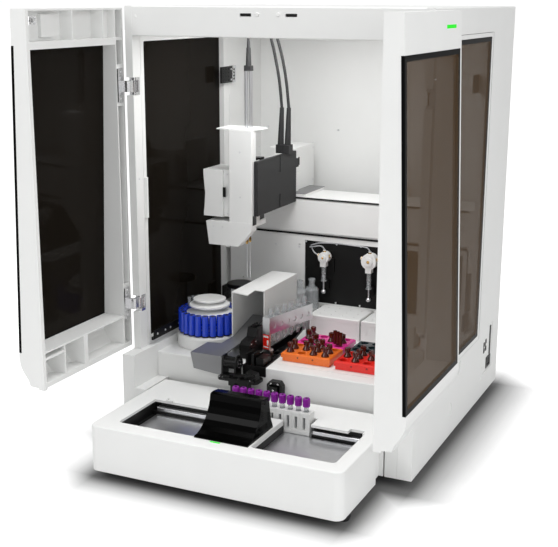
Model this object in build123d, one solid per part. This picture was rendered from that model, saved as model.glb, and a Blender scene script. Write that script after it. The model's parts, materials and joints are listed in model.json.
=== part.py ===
from build123d import *
import math
import os

# Bench-top automated sample-processing instrument with a gantry, seen with its front doors open.
# Millimetres. X runs across the cabinet, Y runs from the front to the back, +Z is up.
# Design frame: X = 0 at the cabinet's middle, Y = 0 at the base's front face, Z = 0 on the bench.

# ---- cabinet ----
WIDTH = 750.0
HALF = WIDTH / 2
BACK = 755.0
TOP = 1046.0
FOOT_H = 22.0
POST_FRONT = 55.0
SKIN = 19.0
INNER = HALF - SKIN
BLOCK_W = 34.0
BLOCK_IN = HALF - BLOCK_W
BASE_TOP = 213.0
SEAT = 0.3
RUN = 0.05

# ---- front doors, drawn closed; the right one is drawn and the left one is its mirror ----
DOOR_PIVOT_X = 369.5
DOOR_PIVOT_Y = 72.0
DOOR_RIM_Y = 53.5
DOOR_FREE_X = 1.5
DOOR_EDGE_X = 363.5
DOOR_TOP_Z = 1041.0
TONGUE_LOW = 212.5
DOOR_T_TOP = 38.0
DOOR_T_LOW = 64.5
PANE_LOW = 294.0
PANE_HIGH = 966.0
PANE_T = 7.0
WALL = 3.5
DOOR_FREE_Y = DOOR_PIVOT_Y + DOOR_FREE_X - DOOR_PIVOT_X
HINGE_Z = (329.0, 861.0)
NOTCH_H = 42.0
NOTCH_DEEP = 84.0
PIN_R = 3.0

# ---- side doors, hinged at their rear edge ----
SIDE_FRONT = 90.0
SIDE_PIVOT_Y = 541.0
SIDE_PIVOT_R = 3.0
SIDE_LOW = 200.0
SIDE_HIGH = 985.0
SIDE_GAP = 1.2
SIDE_RELIEF = 2.9
GLASS_T = 5.0

# ---- loading bay ----
TRAY_HALF = 308.0
TRAY_FRONT = -249.0
TRAY_REAR = 88.0
TRAY_TOP = 130.0
PAN_FLOOR = 97.0
PLATE_T = 3.0
HOOD_TOP = 210.0
LEFT_BAY = (-256.0, -60.0, -206.0, -45.0)
RIGHT_BAY = (78.0, 275.0, -207.0, -34.0)
LANE = (-108.0, 146.0, -33.9, 6.0)

# ---- work deck ----
DECK_FRONT = 110.0
DECK_REAR = 514.0
DECK_TOP = 193.0
DECK_LOW = 127.0
FAN_Z = 118.0
CHANNEL = [(-97.5, DECK_FRONT - 1), (-36, DECK_FRONT - 1), (-41, 196), (-55, 293), (-85, 465), (-97.5, 470)]

# ---- reagent carousel ----
CAR_X = -257.0
CAR_Y = 235.0
DRUM_R = 84.0
DRUM_TOP = 228.0
SPIGOT_R = 12.0
TUBE_COUNT = 24
TUBE_RING_R = 72.5
TUBE_R = 8.7
TUBE_LOW = 229.0
TUBE_HIGH = 283.0

# ---- gantry ----
BEAM_FRONT = 515.0
BEAM_BACK = 642.0
BEAM_LOW = 440.0
BEAM_TOP = 543.0
ARM_X = -148.0
ARM_T = 10.0
ARM_Y = (274.0, 512.0)
ARM_Z = (529.0, 668.0)
RAIL_LEFT = -154.0
RAIL_Z = (588.0, 604.0)
RAIL_FRONT = 392.0
HEAD_LEFT = -213.0
HEAD_RIGHT = -149.2
HEAD_FRONT = 262.0
HEAD_LOW = 509.0
HEAD_TOP = 745.0
ROD_Y = 300.0
ROD_X = (-181.5, -168.5)
ROD_R = 4.5
BOOT_LOW = 889.2
NEEDLE_X = (-186.5, -177.5)
NEEDLE_Y = 310.0
NEEDLE_R = 1.4
NEEDLE_TIP = 353.0

# ---- reagent racks: left edge, front edge ----
RACK_W = 130.0
RACK_D = 89.0
RACK_H = 22.0
RACKS = {"orange": (-27.0, 177.0), "magenta": (-28.0, 268.0), "red": (116.0, 172.0), "dark": (116.0, 263.0)}
VIAL_R = 9.6
BOTTLE_R = 19.4
BOTTLES = ((-101.0, 457.0), (-80.0, 491.0))
STAND_TOP = 243.0

# ---- sample rack ----
SAMPLE_PITCH = 20.0
SAMPLE_COUNT = 10
SAMPLE_X = 126.0
SAMPLE_Y = -14.5
SAMPLE_LOW = PAN_FLOOR + PLATE_T + SEAT
SAMPLE_HIGH = 152.0

SHIFT_Y = -(BACK + DOOR_FREE_Y) / 2


def box(x0, x1, y0, y1, z0, z1):
    return Pos((x0 + x1) / 2, (y0 + y1) / 2, (z0 + z1) / 2) * Box(x1 - x0, y1 - y0, z1 - z0)


def cyl_z(x, y, z0, z1, r):
    return Pos(x, y, (z0 + z1) / 2) * Cylinder(r, z1 - z0)


def cyl_x(y, z, x0, x1, r):
    return Pos((x0 + x1) / 2, y, z) * Rot(0, 90, 0) * Cylinder(r, x1 - x0)


def cyl_y(x, z, y0, y1, r):
    return Pos(x, (y0 + y1) / 2, z) * Rot(90, 0, 0) * Cylinder(r, y1 - y0)


def cone_z(x, y, z0, z1, r0, r1):
    return Pos(x, y, (z0 + z1) / 2) * Cone(r0, r1, z1 - z0)


def prism_x(points, x0, x1):
    """Profile in Y and Z, run along X."""
    return extrude(Plane.YZ.offset(x0) * Polygon(*points, align=None), x1 - x0, dir=(1, 0, 0))


def prism_y(points, y0, y1):
    """Profile in X and Z, run along Y."""
    return extrude(Plane.XZ.offset(-y1) * Polygon(*points, align=None), y1 - y0, dir=(0, -1, 0))


def prism_z(points, z0, z1):
    """Profile in X and Y, run along Z."""
    return extrude(Plane.XY.offset(z0) * Polygon(*points, align=None), z1 - z0, dir=(0, 0, 1))


def turned(x, y, points):
    """Solid of revolution about a vertical line, from radius and height pairs."""
    face = Plane.XZ * Polygon(*points, align=None)
    return Pos(x, y, 0) * revolve(face, Axis.Z)


def tube(points, r):
    """Round tube along straight runs joined by tangent arcs, each as large as its two runs allow."""
    pts = [Vector(*p) for p in points]
    radii = []
    for a, b, c in zip(pts, pts[1:], pts[2:]):
        turn = math.radians((b - a).get_angle(c - b))
        radii.append(0.45 * min((b - a).length, (c - b).length) / math.tan(turn / 2))
    path = FilletPolyline(*points, radius=radii)
    shape = sweep(Plane(origin=path @ 0, z_dir=path % 0) * Circle(r), path=path)
    print("tube r", r, "volume ratio", round(shape.volume / (math.pi * r * r * path.length), 4),
          "radii", [round(q, 1) for q in radii])
    return shape


def mirrored(shape):
    return mirror(shape, about=Plane.YZ)


def vertical(shape):
    return shape.edges().filter_by(Axis.Z)


def save(name, shape):
    if isinstance(shape, (list, tuple)):
        shape = Compound(children=list(shape))
    export_step(Pos(0, SHIFT_Y, 0) * shape, "parts/" + name + ".step")


# ------------------------------------------------------------------ cabinet

def side_frame(with_panel):
    """Right side: base wall, front post, window opening, top rail and rear post."""
    upper = prism_x([(0, FOOT_H), (BACK, FOOT_H), (BACK, TOP), (POST_FRONT, TOP), (POST_FRONT, BASE_TOP),
                     (0, BASE_TOP)], INNER, HALF)
    wall = box(BLOCK_IN, INNER + 1, 0, 739.5, FOOT_H, BASE_TOP)
    shape = upper + wall
    shape = chamfer(shape.edges().filter_by(Axis.Y).group_by(Axis.Z)[-1].sort_by(Axis.X)[-1], 2.5)
    shape -= box(BLOCK_IN - 1, HALF - 6, 122, 730, FOOT_H + 10, BASE_TOP - 28)
    opening = box(INNER - 30, HALF + 1, SIDE_FRONT - SIDE_GAP, SIDE_PIVOT_Y + SIDE_GAP,
                  SIDE_LOW - SIDE_GAP, SIDE_HIGH + SIDE_GAP)
    opening -= box(INNER - 30, INNER - 0.3, SIDE_FRONT - 5, SIDE_PIVOT_Y + 5, SIDE_LOW - 5, BASE_TOP)
    shape -= opening
    shape -= cyl_z(HALF - SIDE_PIVOT_R, SIDE_PIVOT_Y, SIDE_LOW - SIDE_GAP, SIDE_HIGH + SIDE_GAP,
                   SIDE_PIVOT_R + SIDE_RELIEF)
    for z in HINGE_Z:
        shape -= box(INNER - 1, HALF + 1, POST_FRONT - 1, NOTCH_DEEP, z - NOTCH_H / 2, z + NOTCH_H / 2)
    # round hole covers and finger recess in the base wall
    for y in (291, 587):
        shape -= cyl_x(y, 90, HALF - 1.5, HALF + 1, 17)
    shape -= prism_x([(314, 161), (368, 161), (374, 193), (320, 193)], HALF - 5, HALF + 1)
    if with_panel:
        shape -= box(HALF - 4, HALF + 1, 598, 690, 84, 208)
    return shape


def base_chassis():
    """Floor pan with a cross member under the deck and two front corner blocks beside the loading bay."""
    floor = box(-BLOCK_IN + SEAT, BLOCK_IN - SEAT, 96, 739, FOOT_H, FOOT_H + 5)
    cross = box(-BLOCK_IN + SEAT, BLOCK_IN - SEAT, 112, 118, FOOT_H, DECK_LOW - SEAT)
    shape = floor + cross
    for y in (300, 420, 560):
        shape += box(-300, 300, y, y + 14, FOOT_H + 5, FOOT_H + 17)
    for s in (-1, 1):
        block = box(311, BLOCK_IN - SEAT, 0, DECK_FRONT - 0.5, FOOT_H, TRAY_TOP)
        block = fillet(vertical(block).sort_by(Axis.Y)[:2].sort_by(Axis.X)[0], 2)
        shape += block if s > 0 else mirrored(block)
    for x in (-220, 0, 220):
        for y in (200, 640):
            shape -= cyl_z(x, y, FOOT_H - 1, FOOT_H + 6, 22)
    return shape


def rear_panel():
    """Rear panel: flat inside above the deck, ribbed outside, with fans and louvres for the base."""
    shape = box(-INNER + SEAT, INNER - SEAT, 740, BACK, FOOT_H, TOP - 6.3)
    shape -= box(-330, 330, 744, BACK + 1, 60, 1010)
    for z in (250, 560, 870):
        shape += box(-330, 330, 743, 750, z, z + 8)
    for x in (-110, 110):
        shape += box(x - 4, x + 4, 743, 750, 60, 1010)
    for side in (-220, 220):
        for i in range(7):
            shape -= box(side - 60, side + 60, 739, BACK, 110 + 16 * i, 116 + 16 * i)
    # pressed hoods outside, over the plain inner skin
    for x in (-220, 220):
        for i in range(6):
            hood = [(744, 900 + 14 * i), (749, 900 + 14 * i), (744, 908 + 14 * i)]
            shape += prism_x(hood, x - 55, x + 55)
    for x in (-55, 55):
        shape -= cyl_y(x, FAN_Z, 739, 745, 44)
        shape += fan_guard(x)
    shape += box(-INNER + 6, INNER - 6, 735, 741, 948, 972)
    return shape


def fan_guard(x):
    """Round wire guard over one fan opening in the rear panel."""
    ring = cyl_y(x, FAN_Z, 741, 749, 48) - cyl_y(x, FAN_Z, 740, 750, 44)
    for r in (14, 29):
        ring += cyl_y(x, FAN_Z, 742, 748, r + 1.5) - cyl_y(x, FAN_Z, 741, 750, r - 1.5)
    ring += box(x - 46, x + 46, 742, 748, FAN_Z - 1.5, FAN_Z + 1.5)
    ring += box(x - 1.5, x + 1.5, 742, 748, FAN_Z - 46, FAN_Z + 46)
    return ring


def top_cover():
    """Top sheet with the front header and the ceiling rail for the hanging cables."""
    x = INNER - SEAT
    shape = box(-x, x, POST_FRONT, BACK, TOP - 6, TOP)
    header = box(-x, x, POST_FRONT, POST_FRONT + 22, 978, TOP - 5)
    header = fillet(header.edges().filter_by(Axis.X).group_by(Axis.Z)[0].sort_by(Axis.Y)[0], 2.5)
    header -= box(-x + 8, x - 8, POST_FRONT + 4, POST_FRONT + 30, 983, TOP - 9)
    shape += header
    shape = chamfer(shape.edges().filter_by(Axis.X).group_by(Axis.Z)[-1].sort_by(Axis.Y)[0], 2)
    for cx in (-60, 51):
        shape -= box(cx - 14, cx + 14, POST_FRONT - 1, POST_FRONT + 6, 1024, 1031)
    rail = box(-335, 335, 438, 462, 1026, TOP - 5)
    rail -= box(-336, 336, 443, 457, 1025, 1036)
    shape += rail
    for cy in (200, 330, 580, 680):
        shape += box(-330, 330, cy, cy + 10, 1030, TOP - 5)
    return shape


def feet():
    out = []
    for x in (-300, 300):
        for y in (150, 690):
            foot = cone_z(x, y, 0, 8, 20, 24) + cyl_z(x, y, 8, FOOT_H - 0.0, 24)
            out.append(foot)
    for x in (-288, 288):
        out.append(cone_z(x, -190, 0, 8, 14, 17) + cyl_z(x, -190, 8, FOOT_H, 17))
    return out


def hinge_mounts():
    """Fixed halves of the front door hinges, with their pins, and the inner blocks of the side doors."""
    out = []
    px = DOOR_PIVOT_X
    py = DOOR_PIVOT_Y
    for z in HINGE_Z:
        lo = z - NOTCH_H / 2 + SEAT
        hi = z + NOTCH_H / 2 - SEAT
        bracket = box(INNER + 0.5, HALF - 0.6, py - 8, NOTCH_DEEP - SEAT, lo, hi)
        bracket = fillet(vertical(bracket).sort_by(Axis.Y)[:2], 4)
        bracket -= box(INNER - 1, HALF + 1, py - 9, NOTCH_DEEP - 3.3, z - 14, z + 14)
        bracket += cyl_z(px, py, lo, hi, PIN_R)
        out += [bracket, mirrored(bracket)]
    for z in (255, 862):
        block = box(INNER - 12, INNER - SEAT, SIDE_PIVOT_Y + 2, SIDE_PIVOT_Y + 20, z - 23, z + 23)
        block = fillet(vertical(block).sort_by(Axis.X)[:2], 3)
        for d in (-12, 0, 12):
            block -= cyl_x(SIDE_PIVOT_Y + 11, z + d, INNER - 13, INNER - 9, 3)
        out += [block, mirrored(block)]
    return out


def io_panel():
    """Connector plate low on the right side: long socket bar, four ports and the switch housing."""
    plate = box(HALF - 4 + SEAT, HALF - 1.2, 598.5, 689.5, 84.5, 207.5)
    plate += box(HALF - 3, HALF + 0.8, 662, 672, 122, 203)
    for y, z in ((606, 165), (606, 148), (624, 170), (624, 150)):
        plate += box(HALF - 3, HALF + 0.5, y - 5, y + 5, z - 6, z + 6)
        plate -= box(HALF - 2, HALF + 1, y - 3, y + 3, z - 4, z + 4)
    housing = box(HALF - 3, HALF + 1, 634, 676, 90, 120) - box(HALF - 5, HALF + 2, 644, 668, 95, 115)
    return plate + housing - box(HALF - 5, HALF + 2, 644.0, 668.0, 95.0, 115.0)


def power_switch():
    """Rocker in the switch housing, with a ridge across its middle and a pivot rib on its back."""
    rocker = box(HALF - 2.3, HALF - 1, 646, 666, 98, 112)
    rocker += box(HALF - 4 + SEAT, HALF - 2, 655, 657, 98, 112)
    rocker += prism_z([(HALF - 1.2, 646), (HALF + 0.2, 646), (HALF - 0.9, 656), (HALF + 0.6, 666), (HALF - 1.2, 666)],
                      98, 112)
    return rocker


# ------------------------------------------------------------------ doors

def door_t(z):
    """Thickness of the wedge-shaped front door at a height."""
    return DOOR_T_LOW + (z - PANE_LOW) * (DOOR_T_TOP - DOOR_T_LOW) / (DOOR_TOP_Z - PANE_LOW)


def door_profile(inset, low):
    """Section of a front door in Y and Z, from its inner rim outwards."""
    pts = [(-1.0 if inset else 0.0, low), (-1.0 if inset else 0.0, DOOR_TOP_Z - inset),
           (door_t(DOOR_TOP_Z) - inset, DOOR_TOP_Z - inset), (door_t(PANE_LOW) - inset, PANE_LOW),
           (65.5 - inset, 282), (63 - inset, 265), (57.5 - inset, 252), (49.5 - inset, 241),
           (42.5 - inset, 231), (38.5 - inset, 218 + inset), (19, 217 + inset), (16, low)]
    return [(DOOR_RIM_Y - t, z) for t, z in pts]


def door_frame():
    """Moulded front door: wedge-shaped shell with ribbed cells above and below its window."""
    shape = prism_x(door_profile(0, 217), DOOR_FREE_X, DOOR_EDGE_X)
    inner = prism_x(door_profile(WALL, 217 + 6), DOOR_FREE_X, DOOR_EDGE_X)
    x0 = DOOR_FREE_X + 10
    x1 = 330.5
    # window through the shell, and the step that the pane lies in
    shape -= box(x0, x1, -40, DOOR_RIM_Y + 1, 301, 958)
    step = [(DOOR_RIM_Y - door_t(PANE_LOW - 0.4) + PANE_T, PANE_LOW - 0.4), (-40, PANE_LOW - 0.4),
            (-40, PANE_HIGH + 0.4), (DOOR_RIM_Y - door_t(PANE_HIGH + 0.4) + PANE_T, PANE_HIGH + 0.4)]
    shape -= prism_x(step, DOOR_FREE_X - 1, 355.4)
    # cells that open inwards
    cells = [(x0, 162.5, 974, 1037, 33), (166.5, 281, 974, 1037, 33), (284, 329, 974, 1037, 20),
             (x0, 81.5, 229, 281, 60), (x0, 81.5, 286, 297, 60), (85.5, 158, 229, 297, 60),
             (174, 327, 229, 297, 60), (332, 358, 229, 297, 60), (332, 358, 974, 1037, 33),
             (334, 359, 380, 815, 46), (334, 359, 912, 968, 36)]
    for a, b, low, high, deep in cells:
        shape -= inner & box(a, b, DOOR_RIM_Y - deep, DOOR_RIM_Y + 2, low, high)
    # plain raised plate in the first upper cell
    shape += box(84, 132, DOOR_RIM_Y - 33.5, DOOR_RIM_Y - 24, 981, 1029)
    # short tongue under the free edge
    shape += box(DOOR_FREE_X, x0 + 2, DOOR_RIM_Y - 16, DOOR_RIM_Y, TONGUE_LOW, 219)
    return shape


def door_pane():
    low = PANE_LOW
    high = PANE_HIGH
    pts = [(DOOR_RIM_Y - door_t(z) + d, z) for z, d in ((low, PANE_T - SEAT), (low, 0), (high, 0), (high, PANE_T - SEAT))]
    return prism_x(pts, DOOR_FREE_X, 355)


def door_hinges():
    """Moving halves of a front door's two hinges: plate, goose neck and knuckle."""
    px = DOOR_PIVOT_X
    py = DOOR_PIVOT_Y
    out = []
    for z in HINGE_Z:
        plate = box(px - 37.5, px - 17.5, DOOR_RIM_Y + 0.05, py - 14.5, z - 38, z + 43)
        plate = chamfer(plate.edges().filter_by(Axis.Y), 2)
        neck = prism_z([(px - 23.5, py - 15), (px - 17.5, py - 15), (px - 16, py - 4.5), (px, py - 4.5),
                        (px, py + 4.5), (px - 19, py + 4.5), (px - 23.5, py)], z - 13, z + 13)
        arm = plate + neck + cyl_z(px, py, z - 13.5, z + 13.5, 7)
        arm -= cyl_z(px, py, z - 20, z + 20, PIN_R + RUN)
        for dz in (-28, 34):
            arm -= cyl_y(px - 27.5, z + dz, py - 16.2, py - 14, 3)
        out.append(arm)
    return out


def door_latch():
    """Roller catch at the top of the free edge."""
    body = box(14, 40, DOOR_RIM_Y - 33 + SEAT, DOOR_RIM_Y - 2, 1008, 1026)
    body = fillet(body.edges().filter_by(Axis.Z).sort_by(Axis.Y)[-2:], 4)
    body += cyl_y(22, 1017, DOOR_RIM_Y - 4, DOOR_RIM_Y + 1.2, 6)
    return body


def open_right(shape):
    """Turn a closed right door 90 degrees about its pivot, as it stands open."""
    return Pos(DOOR_PIVOT_X, DOOR_PIVOT_Y, 0) * Rot(0, 0, 90) * Pos(-DOOR_PIVOT_X, -DOOR_PIVOT_Y, 0) * shape


def side_door():
    """Side door frame: a ring with a rebate for the glass outside and a rolled rear edge."""
    shape = box(INNER, HALF, SIDE_FRONT, SIDE_PIVOT_Y, SIDE_LOW, SIDE_HIGH)
    hole = box(INNER - 1, HALF + 1, SIDE_FRONT + 14, 511, 230, 964)
    hole = fillet(hole.edges().filter_by(Axis.X), 4)
    shape -= hole
    shape -= box(HALF - GLASS_T, HALF + 1, SIDE_FRONT + 5, 527.4, 212 - 0.4, 975.4)
    shape += cyl_z(HALF - SIDE_PIVOT_R, SIDE_PIVOT_Y, SIDE_LOW, SIDE_HIGH, SIDE_PIVOT_R)
    shape -= box(HALF - 60, HALF - 2 * SIDE_PIVOT_R, SIDE_PIVOT_Y, SIDE_PIVOT_Y + 9, SIDE_LOW - 1, SIDE_HIGH + 1)
    # hinge leaf plates and pull lip on the inner face
    for z in (255, 862):
        shape += box(INNER - 5, INNER + 1, 515, 538, z - 22, z + 22)
    shape += prism_z([(INNER + 1, SIDE_FRONT + 1), (INNER - 7, SIDE_FRONT + 3), (INNER - 7, SIDE_FRONT + 8),
                      (INNER + 1, SIDE_FRONT + 13)], 540, 640)
    return shape


def side_pane():
    shape = box(HALF - GLASS_T + SEAT, HALF, SIDE_FRONT + 5.4, 527, 212, 975)
    return fillet(shape.edges().filter_by(Axis.X), 3)


# ------------------------------------------------------------------ loading bay

def tray_housing():
    """Deep tray with rounded front corners, two openings in its top and a lane for the sample rack."""
    shape = box(-TRAY_HALF, TRAY_HALF, TRAY_FRONT, TRAY_REAR, FOOT_H, TRAY_TOP)
    shape = fillet(vertical(shape).group_by(Axis.Y)[0], 20)
    shape = fillet(shape.faces().sort_by(Axis.Z)[-1].edges().sort_by(Axis.Y)[:3], 3)
    shape -= box(-TRAY_HALF + 14, TRAY_HALF - 14, TRAY_FRONT + 6, TRAY_REAR - 4, FOOT_H - 1, TRAY_TOP - 6)
    for s in (-1, 1):
        a, b = sorted((s * (TRAY_HALF + 1), s * (TRAY_HALF - 10)))
        shape -= box(a, b, -47, 0, FOOT_H - 1, TRAY_TOP - 8)
    for bay in (LEFT_BAY, RIGHT_BAY):
        x0, x1, y0, y1 = bay
        hole = box(x0, x1, y0, y1, TRAY_TOP - 10, TRAY_TOP + 1)
        hole = fillet(vertical(hole).group_by(Axis.Y)[0], 9)
        shape -= hole
    x0, x1, y0, y1 = LANE
    shape -= box(x0, x1, y0, y1, TRAY_TOP - 10, TRAY_TOP + 1)
    shape -= box(236, 270, RIGHT_BAY[3] - 1, -18, TRAY_TOP - 10, TRAY_TOP + 1)
    # the lane meets the right opening
    shape -= box(RIGHT_BAY[0], x1, RIGHT_BAY[3] - 1, y0 + 1, TRAY_TOP - 10, TRAY_TOP + 1)
    return shape


def tray_pans():
    """Black pans under the two openings and the lane."""
    top = TRAY_TOP - 6 - SEAT
    out = []
    x0, x1, y0, y1 = LEFT_BAY
    pan = box(x0 - 4, x1 + 4, y0 - 4, y1 + 6, PAN_FLOOR - 3, top)
    pan -= box(x0, x1, y0, y1 + 2, PAN_FLOOR, top + 1)
    pan += box(x0, x1, y1 - 14, y1 + 4, PAN_FLOOR - 1, PAN_FLOOR + 9)
    out.append(pan)
    x0, x1, y0, y1 = RIGHT_BAY
    lx0, lx1, ly0, ly1 = LANE
    pan = box(x0 - 4, x1 + 4, y0 - 4, y1 + 20, PAN_FLOOR - 3, top)
    pan += box(lx0 - 4, lx1 + 4, ly0 - 4, ly1 + 4, PAN_FLOOR - 3, top)
    pan -= box(x0, x1, y0, y1 + 16, PAN_FLOOR, top + 1)
    pan -= box(lx0, lx1, ly0, ly1, PAN_FLOOR, top + 1)
    pan += box(lx1 + 1, x1 + 1, y1 + 2, y1 + 17, PAN_FLOOR - 1, PAN_FLOOR + 9)
    out.append(pan)
    return out


def tray_plates():
    """Polished floor plates of the two bays, the lane's floor strip and the stop rails behind the plates."""
    out = []
    x0, x1, y0, y1 = LEFT_BAY
    out.append(box(x0 + 14, x1 - SEAT, y0 + SEAT, y1 - 15, PAN_FLOOR + SEAT / 3, PAN_FLOOR + PLATE_T))
    rail = box(x0 + 12, x1 - SEAT, y1 - 12, y1 + 1, PAN_FLOOR + 9.1, PAN_FLOOR + 19)
    out.append(fillet(rail.edges().filter_by(Axis.X).group_by(Axis.Z)[-1], 2))
    x0, x1, y0, y1 = RIGHT_BAY
    out.append(box(x0 + SEAT, x1 - 6, y0 + SEAT, y1 - 1.5, PAN_FLOOR + SEAT / 3, PAN_FLOOR + PLATE_T))
    rail = box(LANE[1] + 3, x1 - 4, y1 + 3, y1 + 15, PAN_FLOOR + 9.1, PAN_FLOOR + 17)
    out.append(fillet(rail.edges().filter_by(Axis.X).group_by(Axis.Z)[-1], 2))
    out.append(box(LANE[0] + 1, LANE[1] - 0.5, LANE[2] + 1, LANE[3] - 1, PAN_FLOOR + SEAT / 3, PAN_FLOOR + PLATE_T))
    return out


def tray_hood():
    """Glossy hood between the bays: a concave front that sweeps up to a crest, open at the back."""
    x0 = -57.0
    x1 = 74.5
    low = TRAY_TOP + 0.2

    def section(d):
        pts = [(-211 + d, low), (-211 + d, low + 3)]
        for i in range(9):
            a = math.radians(90 * i / 8)
            pts.append((-211 + d + 73 * math.sin(a), low + 3 + 75 * (1 - math.cos(a)) - d * 0.2))
        pts += [(-134 + d, 209 - d), (-126, HOOD_TOP - d), (-101, 207 - d)]
        return pts
    outer = section(0) + [(-84, low)]
    inner = section(2.6) + [(-80, 203), (-60, low)]
    inner[0] = (inner[0][0], low - 1)
    inner[-1] = (-60, low - 1)
    shape = prism_x(outer, x0, x1) - prism_x(inner, x0 + 2.6, x1 - 2.6)
    trim_r = prism_y([(x1 + 1, low - 1), (x1 + 1, 220), (x1 - 14, 220), (x1 - 10, 196), (x1, low + 6)], -220, -60)
    trim_l = prism_y([(x0 - 1, low - 1), (x0 - 1, 220), (x0 + 3, 220), (x0, low + 30)], -220, -60)
    return shape - trim_l - (trim_r & box(x1 - 2.5, x1 + 2, -220, -60, low - 2, 221))


def sample_rack():
    """Comb rack: foot, slotted front, and a top with a bore for each tube."""
    left = SAMPLE_X - SAMPLE_PITCH * (SAMPLE_COUNT - 1) - 13
    right = SAMPLE_X + 14
    y0 = SAMPLE_Y - 16
    y1 = SAMPLE_Y + 16
    shape = box(left, right, y0 + 2, y1 - 2, SAMPLE_LOW, SAMPLE_HIGH)
    shape += box(left, right, y0, y1, SAMPLE_LOW, SAMPLE_LOW + 7)
    shape = fillet(shape.faces().sort_by(Axis.Z)[-1].edges(), 1.5)
    for i in range(SAMPLE_COUNT):
        x = SAMPLE_X - SAMPLE_PITCH * i
        shape -= cyl_z(x, SAMPLE_Y, SAMPLE_LOW + 4, SAMPLE_HIGH + 1, 7.0)
        shape -= box(x - 3.2, x + 3.2, y0 - 1, SAMPLE_Y, SAMPLE_LOW + 12, SAMPLE_HIGH - 11)
    for i in range(SAMPLE_COUNT - 1):
        x = SAMPLE_X - SAMPLE_PITCH * (i + 0.5)
        shape -= cyl_z(x, y0 + 2, SAMPLE_LOW + 6, SAMPLE_HIGH + 1, 1.2)
    return shape


def sample_tubes():
    out = []
    for i in range(SAMPLE_COUNT):
        x = SAMPLE_X - SAMPLE_PITCH * i
        out.append(turned(x, SAMPLE_Y, [(0, 105), (3.5, 105.5), (6.3, 109), (6.3, 171.5), (5.3, 171.5), (5.3, 110),
                                        (3, 107), (0, 106.5)]))
    return out


def tube_caps():
    out = []
    for i in range(SAMPLE_COUNT):
        x = SAMPLE_X - SAMPLE_PITCH * i
        out.append(turned(x, SAMPLE_Y, [(6.45, 164), (8.2, 164), (8.2, 182), (7, 184), (3, 184), (2.2, 182), (0, 182),
                                        (0, 172), (6.45, 172)]))
    return out


# ------------------------------------------------------------------ work deck

def work_deck():
    """Deck: folded top and front, stiffening webs under it, and a slanting cut for the conveyor channel."""
    x = BLOCK_IN - SEAT
    shape = box(-x, x, DECK_FRONT, DECK_REAR, DECK_LOW, DECK_TOP)
    shape = fillet(shape.edges().filter_by(Axis.X).group_by(Axis.Z)[-1].sort_by(Axis.Y)[0], 2.5)
    shape -= box(-x + 6, x - 6, DECK_FRONT + 5, DECK_REAR - 6, DECK_LOW - 1, DECK_TOP - 5)
    for wx in (-180, 60, 200):
        shape += box(wx, wx + 5, DECK_FRONT + 4, DECK_REAR - 4, DECK_LOW + 10, DECK_TOP - 4)
    shape -= prism_z(CHANNEL, 170 - SEAT, DECK_TOP + 1)
    # step along the front of the right-hand part, where the reagent racks stand
    shape -= box(-24, x - 3, 150, 152, DECK_TOP - 2, DECK_TOP + 1)
    return shape


def conveyor_channel():
    """Black channel let into the deck, with two guide strips and a row of rollers."""
    pts = [(-97.2, DECK_FRONT - 3), (-36.5, DECK_FRONT - 3), (-41.5, 196), (-55.5, 293), (-85.2, 464), (-97.2, 469)]
    ins = [(-93.5, DECK_FRONT), (-40.5, DECK_FRONT), (-45.5, 196), (-59.5, 292), (-87, 455), (-93.5, 458)]
    shape = prism_z(pts, 170, DECK_TOP + 1.5) - prism_z(ins, 176, DECK_TOP + 3)
    for x in (-84, -66):
        shape += box(x, x + 5, DECK_FRONT + 2, 285, 175, 184)
    for y in (130, 165, 200, 235, 270):
        shape += cyl_x(y, 181, -80, -64, 4)
    shape += box(-92, -70, 112, 150, 175, 222) - box(-86, -76, 111, 151, 190, 223)
    shape += box(-66, -46, 118, 158, 175, 212)
    return shape


def measuring_cover():
    """Tall sheet-metal cover, open at the front, with a notched top flap."""
    x0 = -170.0
    x1 = -98.2
    wall = 2.5
    shape = box(x0, x1, 231, 431, DECK_TOP + 0.2, 350)
    shape += box(x0, x0 + wall, 191, 232, DECK_TOP + 0.2, 350)
    shape += prism_z([(x0, 191), (-119, 178), (-124, 232), (x0, 232)], 350 - wall, 350)
    shape -= box(x0 + wall, x1 - wall, 180, 431 - wall, DECK_TOP - 1, 350 - wall)
    shape -= box(x1 - wall - 1, x1 + 1, 180, 300, DECK_TOP - 1, DECK_TOP + 8)
    for y in (260, 400):
        shape -= cyl_x(y, 215, x1 - 4, x1 + 1, 2)
    return shape


def cuvette_chute():
    """Sloping sheet chute that runs out over the deck's front edge, on two legs."""
    outline = prism_z([(-236, 94), (-149.5, 94), (-128, 182), (-128, 300), (-165, 300), (-165, 190), (-180, 151),
                       (-216, 146)], 150, 330)

    def slope(y, d):
        return 208 + (y - 94) * 0.25 + d
    slab = prism_x([(93, slope(93, 0)), (301, slope(301, 0)), (301, slope(301, 3)), (93, slope(93, 3))], -240, -120)
    shape = slab & outline
    skirt = prism_y([(-236, slope(94, 1)), (-149.5, slope(94, 1)), (-149.5, 163), (-158, 163), (-228, 170)], 94, 96.5)
    shape += skirt
    for px, py in ((-205, 128), (-150, 240)):
        shape += box(px - 4, px + 4, py - 6, py + 6, DECK_TOP + 0.2, slope(py, 1.5))
    return shape


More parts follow.
